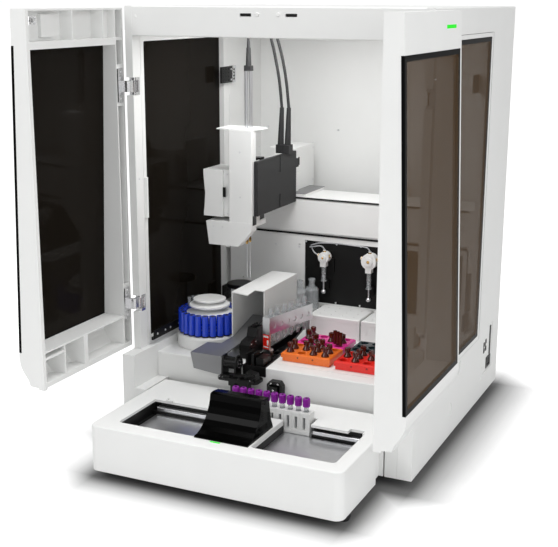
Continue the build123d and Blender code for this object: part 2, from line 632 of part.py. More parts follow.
def sampler_bridge():
    """Black sampler head in front of the deck: post on the bay, platform, cheeks and a bracket to the deck."""
    platform = box(-146, -38, 62, 104, 163, 170)
    platform = chamfer(vertical(platform), 6)
    shape = platform + box(-112, -64, 68, 86, TRAY_TOP + 0.3, 164)
    shape -= box(-100, -76, 60, 78, TRAY_TOP + 8, 158)
    shape += box(-130, -100, 92, DECK_FRONT - 0.3, 140, 165)
    for x in (-142, -107):
        cheek = prism_x([(78, 169), (108, 169), (108, 206), (102, 219), (86, 219), (80, 206)], x, x + 5)
        shape += cheek
    shape -= cyl_x(95, 199, -150, -95, 4.05)
    shape += prism_y([(-76, 169), (-42, 169), (-46, 186), (-70, 190)], 70, 92)
    for x in (-84, -48):
        shape += cyl_y(x, 173, 58, 63, 4)
    return [shape, gripper(), deck_bracket()]


def gripper():
    """Black cuvette gripper on the deck between the chute and the channel."""
    low = DECK_TOP + SEAT
    profile = [(150, low), (228, low), (228, 262), (196, 262), (188, 240), (158, 236), (150, 228)]
    shape = prism_x(profile, -127.6, -101)
    shape -= box(-122, -107, 196, 222, 232, 263)
    for y in (201, 211):
        shape += cyl_z(-114.5, y, 231, 270, 3)
    return shape + box(-102, -98.6, 158, 182, 204, 222)


def deck_bracket():
    """Small dark bracket on the deck's front face."""
    front = DECK_FRONT - SEAT
    shape = prism_y([(-25, 132), (15, 132), (15, 158), (8, 168), (-18, 168), (-25, 160)], front - 18, front)
    shape -= box(-19, 9, front - 19, front - 4, 136, 160)
    return shape + box(-15, 5, front - 24, front - 3, 141, 156)


def sampler_wheel():
    """Drum on a cross shaft, with a drilled flange at its right end."""
    drum = cyl_x(95, 199, -136.6, -107.6, 15)
    for i in range(8):
        a = math.radians(45 * i)
        drum -= cyl_x(95 + 15 * math.cos(a), 199 + 15 * math.sin(a), -133, -111, 2.6)
    shape = drum + cyl_x(95, 199, -143.5, -98, 4)
    shape += cyl_x(95, 199, -101.6, -97.6, 14)
    for i in range(6):
        a = math.radians(60 * i + 15)
        shape -= cyl_x(95 + 10 * math.cos(a), 199 + 10 * math.sin(a), -99.5, -96, 2.2)
    return shape


def carousel_base():
    shape = turned(CAR_X, CAR_Y, [(0, DECK_TOP + 0.1), (DRUM_R - 1, DECK_TOP + 0.1), (DRUM_R, DECK_TOP + 2),
                                  (DRUM_R, DRUM_TOP - 5), (DRUM_R - 2.5, DRUM_TOP - 1), (DRUM_R - 6, DRUM_TOP),
                                  (SPIGOT_R, DRUM_TOP), (SPIGOT_R, 250), (SPIGOT_R - 2, 252), (0, 252)])
    return shape


def carousel_holders():
    """Ring of upright tube sockets joined by two bands."""
    ring = cyl_z(CAR_X, CAR_Y, TUBE_LOW, TUBE_LOW + 10, 68) - cyl_z(CAR_X, CAR_Y, 220, 300, 58.3)
    band = cyl_z(CAR_X, CAR_Y, 256, 262, 70) - cyl_z(CAR_X, CAR_Y, 220, 300, 65)
    shape = ring + band
    cups = []
    bores = []
    for i in range(TUBE_COUNT):
        a = math.radians(360.0 * i / TUBE_COUNT + 4)
        x = CAR_X + TUBE_RING_R * math.cos(a)
        y = CAR_Y + TUBE_RING_R * math.sin(a)
        cups.append(cyl_z(x, y, TUBE_LOW, TUBE_HIGH, TUBE_R))
        bores.append(cyl_z(x, y, TUBE_LOW + 6, TUBE_HIGH + 1, 6))
    shape = shape.fuse(*cups)
    return shape.cut(*bores)


def carousel_hub():
    """White rotor: web under the sockets, column, and three stacked discs, two of them notched."""
    shape = turned(CAR_X, CAR_Y, [(SPIGOT_R + RUN, 230), (58, 230), (58, 238), (34, 240), (30, 262), (56, 270), (61, 272),
                                  (61, 276), (44, 284), (30, 286), (46, 293), (52, 294), (52, 298), (34, 303), (28, 304),
                                  (40, 308), (42, 309.5), (42, 312), (34, 313.5), (0, 312), (0, 254), (SPIGOT_R + RUN, 254)])
    notches = []
    for i in range(30):
        a = math.radians(12 * i)
        notches.append(cyl_z(CAR_X + 62 * math.cos(a), CAR_Y + 62 * math.sin(a), 268, 285, 2.6))
        notches.append(cyl_z(CAR_X + 53 * math.cos(a), CAR_Y + 53 * math.sin(a), 290, 302, 2.2))
    return shape.cut(*notches)


def wash_stand():
    """Small stand behind the carousel that carries the turning mixer disc."""
    shape = cyl_z(-278, 450, DECK_TOP + 0.1, 288, 14) + cyl_z(-278, 450, DECK_TOP + 0.1, DECK_TOP + 8, 30)
    shape += cyl_z(-278, 450, 287, 296, 5)
    return shape


def mixer_disc():
    shape = turned(-278, 450, [(5 + RUN, 289), (34, 289), (37, 291), (37, 299), (35.5, 300.5), (30, 301), (0, 301),
                               (0, 297), (5 + RUN, 297)])
    return shape


def tube_strip_rack():
    """Metal bar that holds six clear tubes, with oval windows in its side and an upright end plate."""
    shape = box(-11, 11, 0, 178, 46, 88)
    shape -= box(-8.5, 8.5, 3, 175, 40, 85)
    for i in range(6):
        shape -= cyl_z(0, 16 + 28 * i, 80, 90, 7.2)
        window = box(9, 13, 8 + 28 * i, 24 + 28 * i, 58, 70)
        shape -= fillet(window.edges().filter_by(Axis.X), 5)
        shape -= box(-13, -9, 8 + 28 * i, 24 + 28 * i, 54, 76)
    shape += box(-11, 11, -3, 1, 4, 88)
    shape += box(-6, 6, 172, 178, -8.8, 47)
    shape += box(-11, 11, 0, 12, -17.7, 6)
    return Pos(-79, 205, DECK_TOP + 9) * Rot(0, 0, -13.2) * shape


def clear_vessels():
    """Clear strip tubes, two translucent wash bottles and the glass barrels of the two syringes."""
    out = syringe_barrels()
    for i in range(6):
        tube = turned(0, 16 + 28 * i, [(0, 18), (3, 19), (6.2, 30), (6.2, 88.2), (8.4, 88.2), (8.4, 90), (6.2, 90.5),
                                       (6.2, 108), (5.2, 108), (5.2, 31), (2.5, 21.5), (0, 20.5)])
        out.append(Pos(-79, 205, DECK_TOP + 9) * Rot(0, 0, -13.2) * tube)
    r = BOTTLE_R
    z = STAND_TOP + 0.2
    for x, y in BOTTLES:
        out.append(turned(x, y, [(0, z), (r - 3, z), (r, z + 3), (r, 295), (r - 4, 301), (8.5, 303), (8.5, 325),
                                 (6.5, 325), (6.5, 301), (r - 5, 299), (r - 1.6, 294), (r - 1.6, z + 4),
                                 (r - 4, z + 2), (0, z + 2)]))
    return out


def bottle_stand():
    """Raised plate on two posts that carries the wash bottles behind the measuring cover."""
    (xa, ya), (xb, yb) = BOTTLES
    plate = prism_z([(xa + 12, ya - 8), (xa - 12, ya + 8), (xb - 12, yb + 8), (xb + 12, yb - 8)],
                    STAND_TOP - 3, STAND_TOP)
    for x, y in BOTTLES:
        plate += cyl_z(x, y, STAND_TOP - 3, STAND_TOP, BOTTLE_R)
    for x, y in ((xa - 12, ya - 10), (xb, yb)):
        plate += cyl_z(x, y, DECK_TOP + 0.2, STAND_TOP - 2, 5)
    return plate


def cooler_boxes():
    """Two insulated boxes with stepped lids at the back of the deck, and the stand for the wash bottles."""
    out = [bottle_stand()]
    for x0, x1 in ((-52, 92), (97, 241)):
        shape = box(x0, x1, 405, 512, DECK_TOP + 0.2, 250)
        shape = fillet(shape.faces().sort_by(Axis.Z)[-1].edges(), 4)
        shape -= box(x0 - 1, x1 + 1, 404, 406, 236, 237.5)
        shape -= box(x0 - 1, x0 + 1, 404, 513, 236, 237.5)
        for i in range(3):
            for j in range(4):
                shape -= cyl_z(x0 + 24 + 32 * j, 428 + 30 * i, 248, 251, 2.2)
        out.append(shape)
    return out


def reagent_rack(x0, y0):
    """Low tray with bevelled sides, a foot flange and twelve bores."""
    low = DECK_TOP + 0.2
    top = DECK_TOP + RACK_H
    shape = box(x0, x0 + RACK_W, y0, y0 + RACK_D, low + 9, top)
    shape = chamfer(shape.faces().sort_by(Axis.Z)[-1].edges(), 3)
    shape += box(x0 + 3, x0 + RACK_W - 3, y0 + 3, y0 + RACK_D - 3, low, low + 10)
    for i in range(4):
        for j in range(3):
            shape -= cyl_z(x0 + 18.5 + 31 * i, y0 + 16.5 + 28 * j, low + 3, top + 1, VIAL_R + 0.8)
    return shape


def vials(x0, y0, spots):
    """Amber necked vials standing in some of a rack's bores."""
    z = DECK_TOP + 3.3
    out = []
    for i, j in spots:
        r = VIAL_R
        out.append(turned(x0 + 18.5 + 31 * i, y0 + 16.5 + 28 * j,
                          [(0, z), (r - 1, z), (r, z + 2), (r, z + 21), (r - 3.5, z + 27), (5, z + 29), (5, z + 32),
                           (7.2, z + 32), (7.2, z + 41), (5, z + 42), (0, z + 41)]))
    return out


# ------------------------------------------------------------------ gantry

def gantry_beam():
    """Cross beam: hollow section with T-slots along its front and end plates on the side frames."""
    x = INNER - SEAT
    pts = [(BEAM_FRONT, BEAM_LOW), (BEAM_BACK, BEAM_LOW), (BEAM_BACK, BEAM_TOP), (BEAM_FRONT, BEAM_TOP)]
    shape = prism_x(pts, -x, x)
    shape -= box(-x - 1, x + 1, BEAM_FRONT + 7, BEAM_BACK - 5, BEAM_LOW + 5, BEAM_TOP - 6)
    shape += box(-x, x, 576, 581, BEAM_LOW + 4, BEAM_TOP - 5)
    for z in (BEAM_LOW + 3, BEAM_TOP - 8):
        shape -= box(-x - 1, x + 1, BEAM_FRONT - 1, BEAM_FRONT + 3, z, z + 4)
    for s in (-1, 1):
        a, b = sorted((s * x, s * (x - 12)))
        shape += box(a, b, BEAM_FRONT + 1, BEAM_BACK + 40, BEAM_LOW - 60, BEAM_TOP - 3)
    return shape


def inner_panel():
    """Sheet panel under the beam with a wide cut-out for the pump board."""
    x = BLOCK_IN - SEAT
    shape = box(-x, x, BEAM_FRONT, BEAM_FRONT + 3, DECK_TOP - 40, BEAM_LOW - SEAT)
    shape -= box(-112, 330, BEAM_FRONT - 1, BEAM_FRONT + 4, 252, 424)
    shape += box(-x, x, BEAM_FRONT + 2, BEAM_FRONT + 16, DECK_TOP - 40, DECK_TOP - 37)
    for px, pz in ((-300, 405), (-200, 405), (-128, 410), (-300, 300)):
        shape -= cyl_y(px, pz, BEAM_FRONT - 1, BEAM_FRONT + 4, 2.5)
    return shape


def pump_panel():
    """Black board behind the cut-out, with a syringe carrier for each pump and a cable grommet."""
    y = BEAM_FRONT + 3.3
    shape = box(-122, 338, y, y + 5, 244, 432)
    ring = cyl_y(-92, 409, BEAM_FRONT - 2, y + 1, 10) - cyl_y(-92, 409, BEAM_FRONT - 3, y + 2, 7)
    shape += ring
    for x in (-47, 83):
        shape += box(x - 9, x + 9, 507, y + 1, 296, 318)
        shape -= cyl_z(x, 495, 290, 330, 9)
        shape += box(x - 22, x + 22, 513, y + 1, 342, 380)
    return shape


def pump_valves():
    """Two round valve heads with port collars and the clamp blocks over the syringes."""
    out = []
    for x, z, r in ((-47, 386, 15), (83, 388, 21)):
        head = cyl_y(x, z, 488, BEAM_FRONT - 2.2, r)
        head += cyl_y(x, z, 484, 489, r * 0.55)
        for dx, dz in ((-1, 0.25), (1, 0.25), (0, 1)):
            length = math.hypot(dx, dz)
            port = Pos(x + dx / length * r, 498, z + dz / length * r) * Rot(0, math.degrees(math.atan2(dx, dz)), 0)
            head += port * Cylinder(4, 10)
        head += box(x - 8, x + 8, 487, 505, z - r - 10, z - r + 4)
        out.append(head)
    return out


def syringe_barrels():
    out = []
    for x, top, low in ((-47, 361, 320), (83, 357, 312)):
        barrel = cyl_z(x, 495, low, top - 0.3, 6.2) - cyl_z(x, 495, low - 1, top - 3, 4.0)
        barrel += cyl_z(x, 495, low, low + 3, 8.2) - cyl_z(x, 495, low - 1, low + 4, 4.0)
        out.append(barrel)
    return out


def plunger(x, low):
    """Syringe piston rod with its knob."""
    shape = cyl_z(x, 495, low - 26, low + 13, 2) + cyl_z(x, 495, low + 12, low + 15, 4 - RUN)
    return shape + turned(x, 495, [(0, low - 34), (4, low - 34), (6.5, low - 31), (6.5, low - 27),
                                   (4, low - 24), (0, low - 24)])


def pump_tubing():
    """Three tubes from the grommet in the cut-out over to the valve ports."""
    y = BEAM_FRONT + 3
    paths = [[(-92, y, 412.5), (-91.5, 507, 413), (-82, 500, 417), (-64, 498, 424), (-36, 496, 427), (2, 495.5, 428),
              (40, 496, 426.5), (62, 497, 426), (77, 498, 423.5), (83, 498, 415.4)],
             [(-95, y, 407.3), (-94.5, 507.5, 407.6), (-86, 500.5, 410.5), (-72, 498, 413.8), (-62, 498, 416.5),
              (-53, 498, 415), (-47, 498, 407.4)],
             [(-89, y, 407.3), (-88.5, 508, 407), (-83, 501, 402), (-76, 498.5, 395), (-66.8, 498, 391.3)]]
    return [tube(pts, 1.8) for pts in paths]


# ------------------------------------------------------------------ carriage and head

def carriage():
    """Slider plate on the beam, with the motor box behind and the cross rail that carries the head."""
    shape = box(-244, -113, BEAM_FRONT + 1, 654, BEAM_TOP + SEAT, 549.5)
    shape = chamfer(vertical(shape), 3)
    motor = box(-238, -160, 557, 684, 549, 667)
    motor = fillet(motor.edges().filter_by(Axis.X).group_by(Axis.Z)[-1], 3)
    shape += motor
    shape += box(-226, -152, 512.5, 558, 549, 645)
    shape += box(RAIL_LEFT, ARM_X - SEAT, RAIL_FRONT, 560, *RAIL_Z)
    for y in (540, 630):
        for x in (-132, -122):
            shape -= cyl_z(x, y, 540, 552, 2.6)
    return shape


def arm_cover():
    """Dark side cover of the arm, with two shallow recesses in its outer face and folded edges."""
    x1 = ARM_X + ARM_T
    shape = box(ARM_X, x1, ARM_Y[0], ARM_Y[1], ARM_Z[0], ARM_Z[1])
    shape = fillet(shape.edges().filter_by(Axis.X), 3)
    shape = chamfer(shape.faces().sort_by(Axis.X)[-1].edges(), 1.2)
    shape -= box(ARM_X - 1, x1 - 3, ARM_Y[0] + 8, ARM_Y[1] - 8, ARM_Z[0] + 8, ARM_Z[1] - 8)
    shape += box(ARM_X, x1 - 2, 300, ARM_Y[1] - 4, 580, 612)
    for z0, z1 in ((624, ARM_Z[1] + 1), (ARM_Z[0] - 1, 566)):
        shape -= box(x1 - 1.6, x1 + 1, 384, 410, z0, z1)
    shape += box(-152 + SEAT, x1 - 2, ARM_Y[1] - 9, 532, 622, 645)
    return shape


def arm_cables():
    """Connector blocks, tapered boots and two cables that hang from a trolley under the ceiling rail."""
    out = []
    ends = ((-157.5, (-185, 450, 964), (-171, 450, 909), (-159, 450, 845)),
            (-137.5, (-167, 450, 964), (-151, 450, 909), (-139.5, 450, 846)))
    bodies = box(-167, -128, 440, 468, ARM_Z[1] + 0.2, ARM_Z[1] + 22)
    bodies = fillet(vertical(bodies), 3)
    bodies -= box(-148.3, -147, 439, 469, ARM_Z[1] + 4, ARM_Z[1] + 24)
    shape = bodies
    for x, p1, p2, p3 in ends:
        tip = x + 4
        shape += Pos(0, 0, 0) * loft([Plane.XY.offset(ARM_Z[1] + 18) * Pos(x, 453) * Circle(8.5),
                                      Plane.XY.offset(787) * Pos(tip, 451) * Circle(5.5)])
        mid = [((u + v) / 2 + d, 450, (w + q) / 2) for (u, k, w), (v, k2, q), d in ((p3, p2, 0.8), (p2, p1, 0.9))]
        shape += tube([(tip, 451, 786), p3, mid[0], p2, mid[1], p1, (p1[0] - 9, 450, 1003)], 3.8)
    shape += box(-212, -160, 440, 460, 1002, 1024.5)
    return shape


def head_housing():
    """White head: column, chin with a slanted corner, side motor box with a waisted face, and top plate."""
    x0 = HEAD_LEFT
    x1 = HEAD_RIGHT
    column = box(x0, x1, HEAD_FRONT, 310, HEAD_LOW, HEAD_TOP)
    column = fillet(vertical(column).group_by(Axis.Y)[0], 2)
    column -= box(x0 + 3, x1 - 3, HEAD_FRONT + 3, 311, HEAD_LOW - 1, HEAD_TOP + 1)
    column -= box(x1 - 4, x1 + 1, HEAD_FRONT + 25, 311, 668, HEAD_TOP + 1)
    chin_pts = [(-279, 509.5), (x1, 513), (x1, 492), (-187, 449), (-271, 449)]
    ins_pts = [(-275.8, 506.5), (x1 - 3, 510), (x1 - 3, 493.5), (-188.5, 452), (-268.4, 452)]
    chin = prism_y(chin_pts, HEAD_FRONT - 1, 345)
    chin -= prism_y(ins_pts, HEAD_FRONT + 2, 346)
    chin -= box(-200, x1 + 1, 290, 346, 440, 500)
    chin -= box(x0 + 3, x1 - 3, HEAD_FRONT + 3, 346, 500, 516)
    side = prism_z([(-290, 270), (-235, 270), (-235, 279), (x0 + 1, 279), (x0 + 1, 366), (-290, 366)], 521, 641)
    waist = prism_y([(-291, 522), (-288, 545), (-285.5, 581), (-289, 615), (-291, 640), (-300, 640), (-300, 522)], 260, 380)
    side -= waist
    side -= box(-287, x0 - 3, 300, 362, 518, 636)
    plate = prism_z([(-250, 268), (-150, 268), (-143, 300), (-136, 328), (-160, 342), (-250, 342)], HEAD_TOP - 0.5,
                    HEAD_TOP + 2.5)
    shape = column + chin + side + plate
    for x in ROD_X:
        shape -= cyl_z(x, ROD_Y, HEAD_TOP - 3, HEAD_TOP + 5, ROD_R + 0.08)
    return shape


def head_slide():
    """Black guide column at the back of the head, notched for the arm's cross rail."""
    shape = box(-176, HEAD_RIGHT - 3 - SEAT, 318, 342, 505, 672)
    shape += box(-176, HEAD_RIGHT - 3 - SEAT, 341, 425, 575, 620)
    shape -= box(RAIL_LEFT - SEAT, ARM_X, 317, 426, RAIL_Z[0] - SEAT, RAIL_Z[1] + SEAT)
    shape += box(HEAD_LEFT + 1 + SEAT, -176, 330, 342, 575, 640)
    shape -= box(-205, -185, 329, 343, 590, 625)
    return shape


def probe_rods():
    """Pair of lift rods, the block that joins them and the two needles."""
    shape = box(-196, -164, 293, 316, 604, 622)
    for x in ROD_X:
        shape += cyl_z(x, ROD_Y, 604, BOOT_LOW - 0.2, ROD_R)
    for x in NEEDLE_X:
        shape += cyl_z(x, NEEDLE_Y, NEEDLE_TIP + 6, 606, NEEDLE_R)
        shape += cone_z(x, NEEDLE_Y, NEEDLE_TIP, NEEDLE_TIP + 6, 0.5, NEEDLE_R)
    return shape


def probe_boot():
    """Collar across the rods with the tapered cable boot on top."""
    x = sum(ROD_X) / 2
    half = (ROD_X[1] - ROD_X[0]) / 2 + ROD_R
    collar = box(x - half, x + half, ROD_Y - 7, ROD_Y + 7, BOOT_LOW, BOOT_LOW + 13)
    collar = fillet(vertical(collar), 4)
    boot = [(0, 12), (7, 12), (5.3, 56), (4.3, 56), (3, 85), (0, 85)]
    return collar + turned(x, ROD_Y, [(r, BOOT_LOW + z) for r, z in boot])


def main():
    os.makedirs("parts", exist_ok=True)
    save("side_frame_right", side_frame(True))
    save("side_frame_left", mirrored(side_frame(False)))
    save("base_chassis", base_chassis())
    save("rear_panel", rear_panel())
    save("top_cover", top_cover())
    save("feet", feet())
    save("hinge_mounts", hinge_mounts())
    save("io_panel", io_panel())
    save("power_switch", power_switch())
    door = door_frame()
    pane = door_pane()
    hinges = door_hinges()
    latch = door_latch()
    save("right_door_frame", open_right(door))
    save("right_door_pane", open_right(pane))
    save("right_door_hinges", [open_right(h) for h in hinges] + [open_right(latch)])
    save("left_door_frame", mirrored(open_right(door)))
    save("left_door_pane", mirrored(open_right(pane)))
    save("left_door_hinges", [mirrored(open_right(h)) for h in hinges] + [mirrored(open_right(latch))])
    save("right_side_door", side_door())
    save("right_side_pane", side_pane())
    save("left_side_door", mirrored(side_door()))
    save("left_side_pane", mirrored(side_pane()))
    save("tray_housing", tray_housing())
    save("tray_pans", tray_pans())
    save("tray_plates", tray_plates())
    save("tray_hood", tray_hood())
    save("sample_rack", sample_rack())
    save("sample_tubes", sample_tubes())
    save("tube_caps", tube_caps())
    save("work_deck", work_deck())
    save("conveyor_channel", conveyor_channel())
    save("measuring_cover", measuring_cover())
    save("cuvette_chute", cuvette_chute())
    save("sampler_bridge", sampler_bridge())
    save("sampler_wheel", sampler_wheel())
    save("carousel_base", [carousel_base(), wash_stand()])
    save("carousel_holders", carousel_holders())
    save("carousel_hub", carousel_hub())
    save("mixer_disc", mixer_disc())
    save("tube_strip_rack", tube_strip_rack())
    save("clear_vessels", clear_vessels())
    save("cooler_boxes", cooler_boxes())
    spots = {"orange": ((0, 0), (0, 1), (1, 1), (1, 2), (2, 0), (2, 1), (2, 2), (3, 0), (3, 1)),
             "magenta": ((0, 1), (0, 2), (1, 0), (2, 1), (3, 1)), "red": ((0, 1), (1, 0), (1, 1), (1, 2), (2, 1))}
    for name, (x0, y0) in RACKS.items():
        save(name + "_rack", reagent_rack(x0, y0))
        if name in spots:
            save(name + "_vials", vials(x0, y0, spots[name]))
    save("gantry_beam", gantry_beam())
    save("inner_panel", inner_panel())
    save("pump_panel", pump_panel())
    save("pump_valves", pump_valves())
    save("pump_tubing", pump_tubing())
    save("plunger_left", plunger(-47, 320))
    save("plunger_right", plunger(83, 312))
    save("carriage", carriage())
    save("arm_cover", arm_cover())
    save("arm_cables", arm_cables())
    save("head_housing", head_housing())
    save("head_slide", head_slide())
    save("probe_rods", probe_rods())
    save("probe_boot", probe_boot())


main()
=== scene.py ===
import json
import math

import bmesh
import bpy
from mathutils import Matrix, Vector


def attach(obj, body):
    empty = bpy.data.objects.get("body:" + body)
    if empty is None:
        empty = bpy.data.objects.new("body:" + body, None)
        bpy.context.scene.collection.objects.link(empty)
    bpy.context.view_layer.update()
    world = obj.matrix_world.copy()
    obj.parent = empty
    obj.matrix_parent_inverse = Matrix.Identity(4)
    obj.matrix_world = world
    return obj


# Looks for a bench-top sample-processing cabinet. Places are given in millimetres in the cabinet's own frame:
# X = 0 at its middle, Y = 0 at the base's front face, Z = 0 on the bench. at() adds SHIFT_Y, which gives the
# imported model's place.
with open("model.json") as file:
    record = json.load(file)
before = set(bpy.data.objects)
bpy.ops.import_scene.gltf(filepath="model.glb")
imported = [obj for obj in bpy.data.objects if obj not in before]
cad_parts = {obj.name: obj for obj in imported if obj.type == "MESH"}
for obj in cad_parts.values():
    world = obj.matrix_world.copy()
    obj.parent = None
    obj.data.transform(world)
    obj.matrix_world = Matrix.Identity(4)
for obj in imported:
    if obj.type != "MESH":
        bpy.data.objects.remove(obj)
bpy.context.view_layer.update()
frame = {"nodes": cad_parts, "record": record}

SHIFT_Y = -229.5
HALF = 375.0                                  # half the cabinet's width
DOOR_OUT = 297.5                              # an open front door's Y is its closed X less this
DOOR_PLANE = 388.0                            # |X| of an open front door's rim plane
PANE_LOW, PANE_HIGH = 294.0, 966.0            # a front door pane's Z limits
FRONT_HINGE_Z = (329, 861)                    # middles of the hinges
SIDE_HINGE_Z = (255, 862)
FOOTPRINT_Y = (372.0, 400.0)                  # the cabinet on the floor, for the floor's painted shadow: its middle and half its depth
TRAY_FOOTPRINT = (308.0, -118.0, 118.0)       # the loading tray, for the floor's painted shadow: half width, middle and half depth
PANEL_FACE = (599.0, 689.0, 85.0, 207.0)      # the connector panel's sheet: its Y and Z limits
PANEL_WINDOWS = ((660.5, 673.5, 124.0, 204.5), (600.5, 611.5, 141.5, 171.5), (618.5, 629.5, 143.5, 176.5),
                 (632.5, 677.5, 88.5, 121.5))

TUBE_X, TUBE_Y, TUBE_PITCH, TUBE_COUNT = 126, -14.5, 20, 10
RIB_COUNT, RIB_RADIUS = 20, 8.1               # the ribs around a tube's cap
CAROUSEL_X, CAROUSEL_Y, CAROUSEL_STEP = -257, 235, 15.0
WHEEL_Y, WHEEL_Z = 95, 199                    # the sampler drum's axis
STRIP_PLACE, STRIP_TURN = (-79, 205, 202), math.radians(-13.2)
BOTTLES = ((-101, 457), (-80, 491))
LID_X = (-52, 97)                             # left edges of the two insulated boxes
VALVES = ((-47, 386, 15), (83, 388, 21))      # the pump valves' X, Z and radius
RACKS = {"orange": (-27.0, 177.0), "magenta": (-28.0, 268.0), "red": (116.0, 172.0), "dark": (116.0, 263.0)}
VIALS = {"orange": ((0, 0), (0, 1), (1, 1), (1, 2), (2, 0), (2, 1), (2, 2), (3, 0), (3, 1)),
         "magenta": ((0, 1), (0, 2), (1, 0), (2, 1), (3, 1)),
         "red": ((0, 1), (1, 0), (1, 1), (1, 2), (2, 1))}

CAM_PLACE = (1051.0, -2156.0, 1063.0)
CAM_YAW, CAM_PITCH, CAM_ROLL = 24.92, 14.14, 0.2
CAM_LENS, CAM_SENSOR = 70.4, 36.0
WORLD_STRENGTH = (("Is Camera Ray", 1.02), ("Is Transmission Ray", 1.0), ("Is Glossy Ray", 0.3),
                  ("Is Diffuse Ray", 0.56))


def at(x, y, z):
    """A place in the cabinet's frame, in metres in the row frame."""
    return Vector((x, y + SHIFT_Y, z)) / 1000


# ------------------------------------------------------------------ materials

def node(tree, kind, **inputs):
    """A new node with plain values on the named inputs."""
    made = tree.nodes.new(kind)
    for key, value in inputs.items():
        made.inputs[key.replace("_", " ")].default_value = value
    return made


def math_node(tree, operation, first, second=None, clamp=False):
    """A maths node; each input is a socket to link or a plain number."""
    made = tree.nodes.new("ShaderNodeMath")
    made.operation = operation
    made.use_clamp = clamp
    for slot, value in enumerate((first, second)):
        if isinstance(value, (int, float)):
            made.inputs[slot].default_value = value
        elif value is not None:
            tree.links.new(value, made.inputs[slot])
    return made.outputs[0]


def map_range(tree, source, from_min=0.0, from_max=1.0, to_min=0.0, to_max=1.0):
    """A Map Range node's result for a source socket."""
    made = node(tree, "ShaderNodeMapRange", From_Min=from_min, From_Max=from_max, To_Min=to_min,
                To_Max=to_max)
    tree.links.new(source, made.inputs["Value"])
    return made


def surface(name, color, rough, metal=0.0, grain=600.0, bump=0.05, mottle=0.03, coat=0.0, spec=0.5,
            stretch=None, rough_var=0.06):
    """A finish with fine grain in its bump, slow colour drift and uneven gloss."""
    mat = bpy.data.materials.new(name)
    mat.use_nodes = True
    tree = mat.node_tree
    shader = tree.nodes["Principled BSDF"]
    shader.inputs["Metallic"].default_value = metal
    shader.inputs["Coat Weight"].default_value = coat
    shader.inputs["Coat Roughness"].default_value = 0.08
    shader.inputs["Specular IOR Level"].default_value = spec
    coords = tree.nodes.new("ShaderNodeTexCoord")
    source = coords.outputs["Object"]
    if stretch:
        mapping = tree.nodes.new("ShaderNodeMapping")
        mapping.inputs["Scale"].default_value = stretch
        tree.links.new(source, mapping.inputs["Vector"])
        source = mapping.outputs["Vector"]
    fine = node(tree, "ShaderNodeTexNoise", Scale=grain, Detail=3.0, Roughness=0.6)
    slow = node(tree, "ShaderNodeTexNoise", Scale=9.0, Detail=4.0, Roughness=0.55)
    tree.links.new(source, fine.inputs["Vector"])
    tree.links.new(coords.outputs["Object"], slow.inputs["Vector"])
    ramp = tree.nodes.new("ShaderNodeValToRGB")
    dark = [c * (1 - mottle) for c in color]
    light = [min(1.0, c * (1 + mottle * 0.5)) for c in color]
    ramp.color_ramp.elements[0].color = (*dark, 1)
    ramp.color_ramp.elements[0].position = 0.35
    ramp.color_ramp.elements[1].color = (*light, 1)
    ramp.color_ramp.elements[1].position = 0.65
    tree.links.new(slow.outputs["Fac"], ramp.inputs["Fac"])
    tree.links.new(ramp.outputs["Color"], shader.inputs["Base Color"])
    low, high = max(0.02, rough - rough_var), rough + rough_var
    gloss = map_range(tree, fine.outputs["Fac"], to_min=low, to_max=high)
    tree.links.new(gloss.outputs["Result"], shader.inputs["Roughness"])
    if bump:
        relief = node(tree, "ShaderNodeBump", Strength=bump, Distance=0.0004)
        tree.links.new(fine.outputs["Fac"], relief.inputs["Height"])
        tree.links.new(relief.outputs["Normal"], shader.inputs["Normal"])
    return mat


def see_through(name, color, alpha, rough=0.04, spec=0.22, border=None):
    """Tinted clear sheet. border = (axis pair, low corner, high corner, width) paints a black edge."""
    mat = surface(name, color, rough, grain=40.0, bump=0.0, mottle=0.02, rough_var=0.015, spec=spec)
    tree = mat.node_tree
    shader = tree.nodes["Principled BSDF"]
    shader.inputs["Alpha"].default_value = alpha
    if border is None:
        return mat
    axes, low, high, width = border
    coords = tree.nodes.new("ShaderNodeTexCoord")
    parts = tree.nodes.new("ShaderNodeSeparateXYZ")
    tree.links.new(coords.outputs["Object"], parts.inputs[0])
    edge = None
    for axis, lo, hi in zip(axes, low, high):
        centre, reach = (lo + hi) / 2, (hi - lo) / 2 - width
        for sign, test in ((1, "GREATER_THAN"), (-1, "LESS_THAN")):
            side = math_node(tree, test, parts.outputs["XYZ".index(axis)], centre + sign * reach)
            edge = side if edge is None else math_node(tree, "MAXIMUM", edge, side)
    solid = map_range(tree, edge, to_min=alpha)
    tree.links.new(solid.outputs["Result"], shader.inputs["Alpha"])
    paint = tree.nodes.new("ShaderNodeMix")
    paint.data_type = "RGBA"
    base = shader.inputs["Base Color"].links[0].from_socket
    tree.links.new(edge, paint.inputs[0])
    tree.links.new(base, paint.inputs[6])
    paint.inputs[7].default_value = (*BORDER_BLACK, 1)
    tree.links.new(paint.outputs[2], shader.inputs["Base Color"])
    return mat


def pane_border(front):
    """The printed border of a pane, in metres: a front door's as it stands open, or a side door's."""
    if front:
        low = at(0, 1.5 - DOOR_OUT, PANE_LOW)
        high = at(0, 355 - DOOR_OUT, PANE_HIGH)
    else:
        low = at(0, 95.4, 212)
        high = at(0, 527, 975)
    return ("YZ", (low.y, low.z), (high.y, high.z), BORDER_WIDTH)


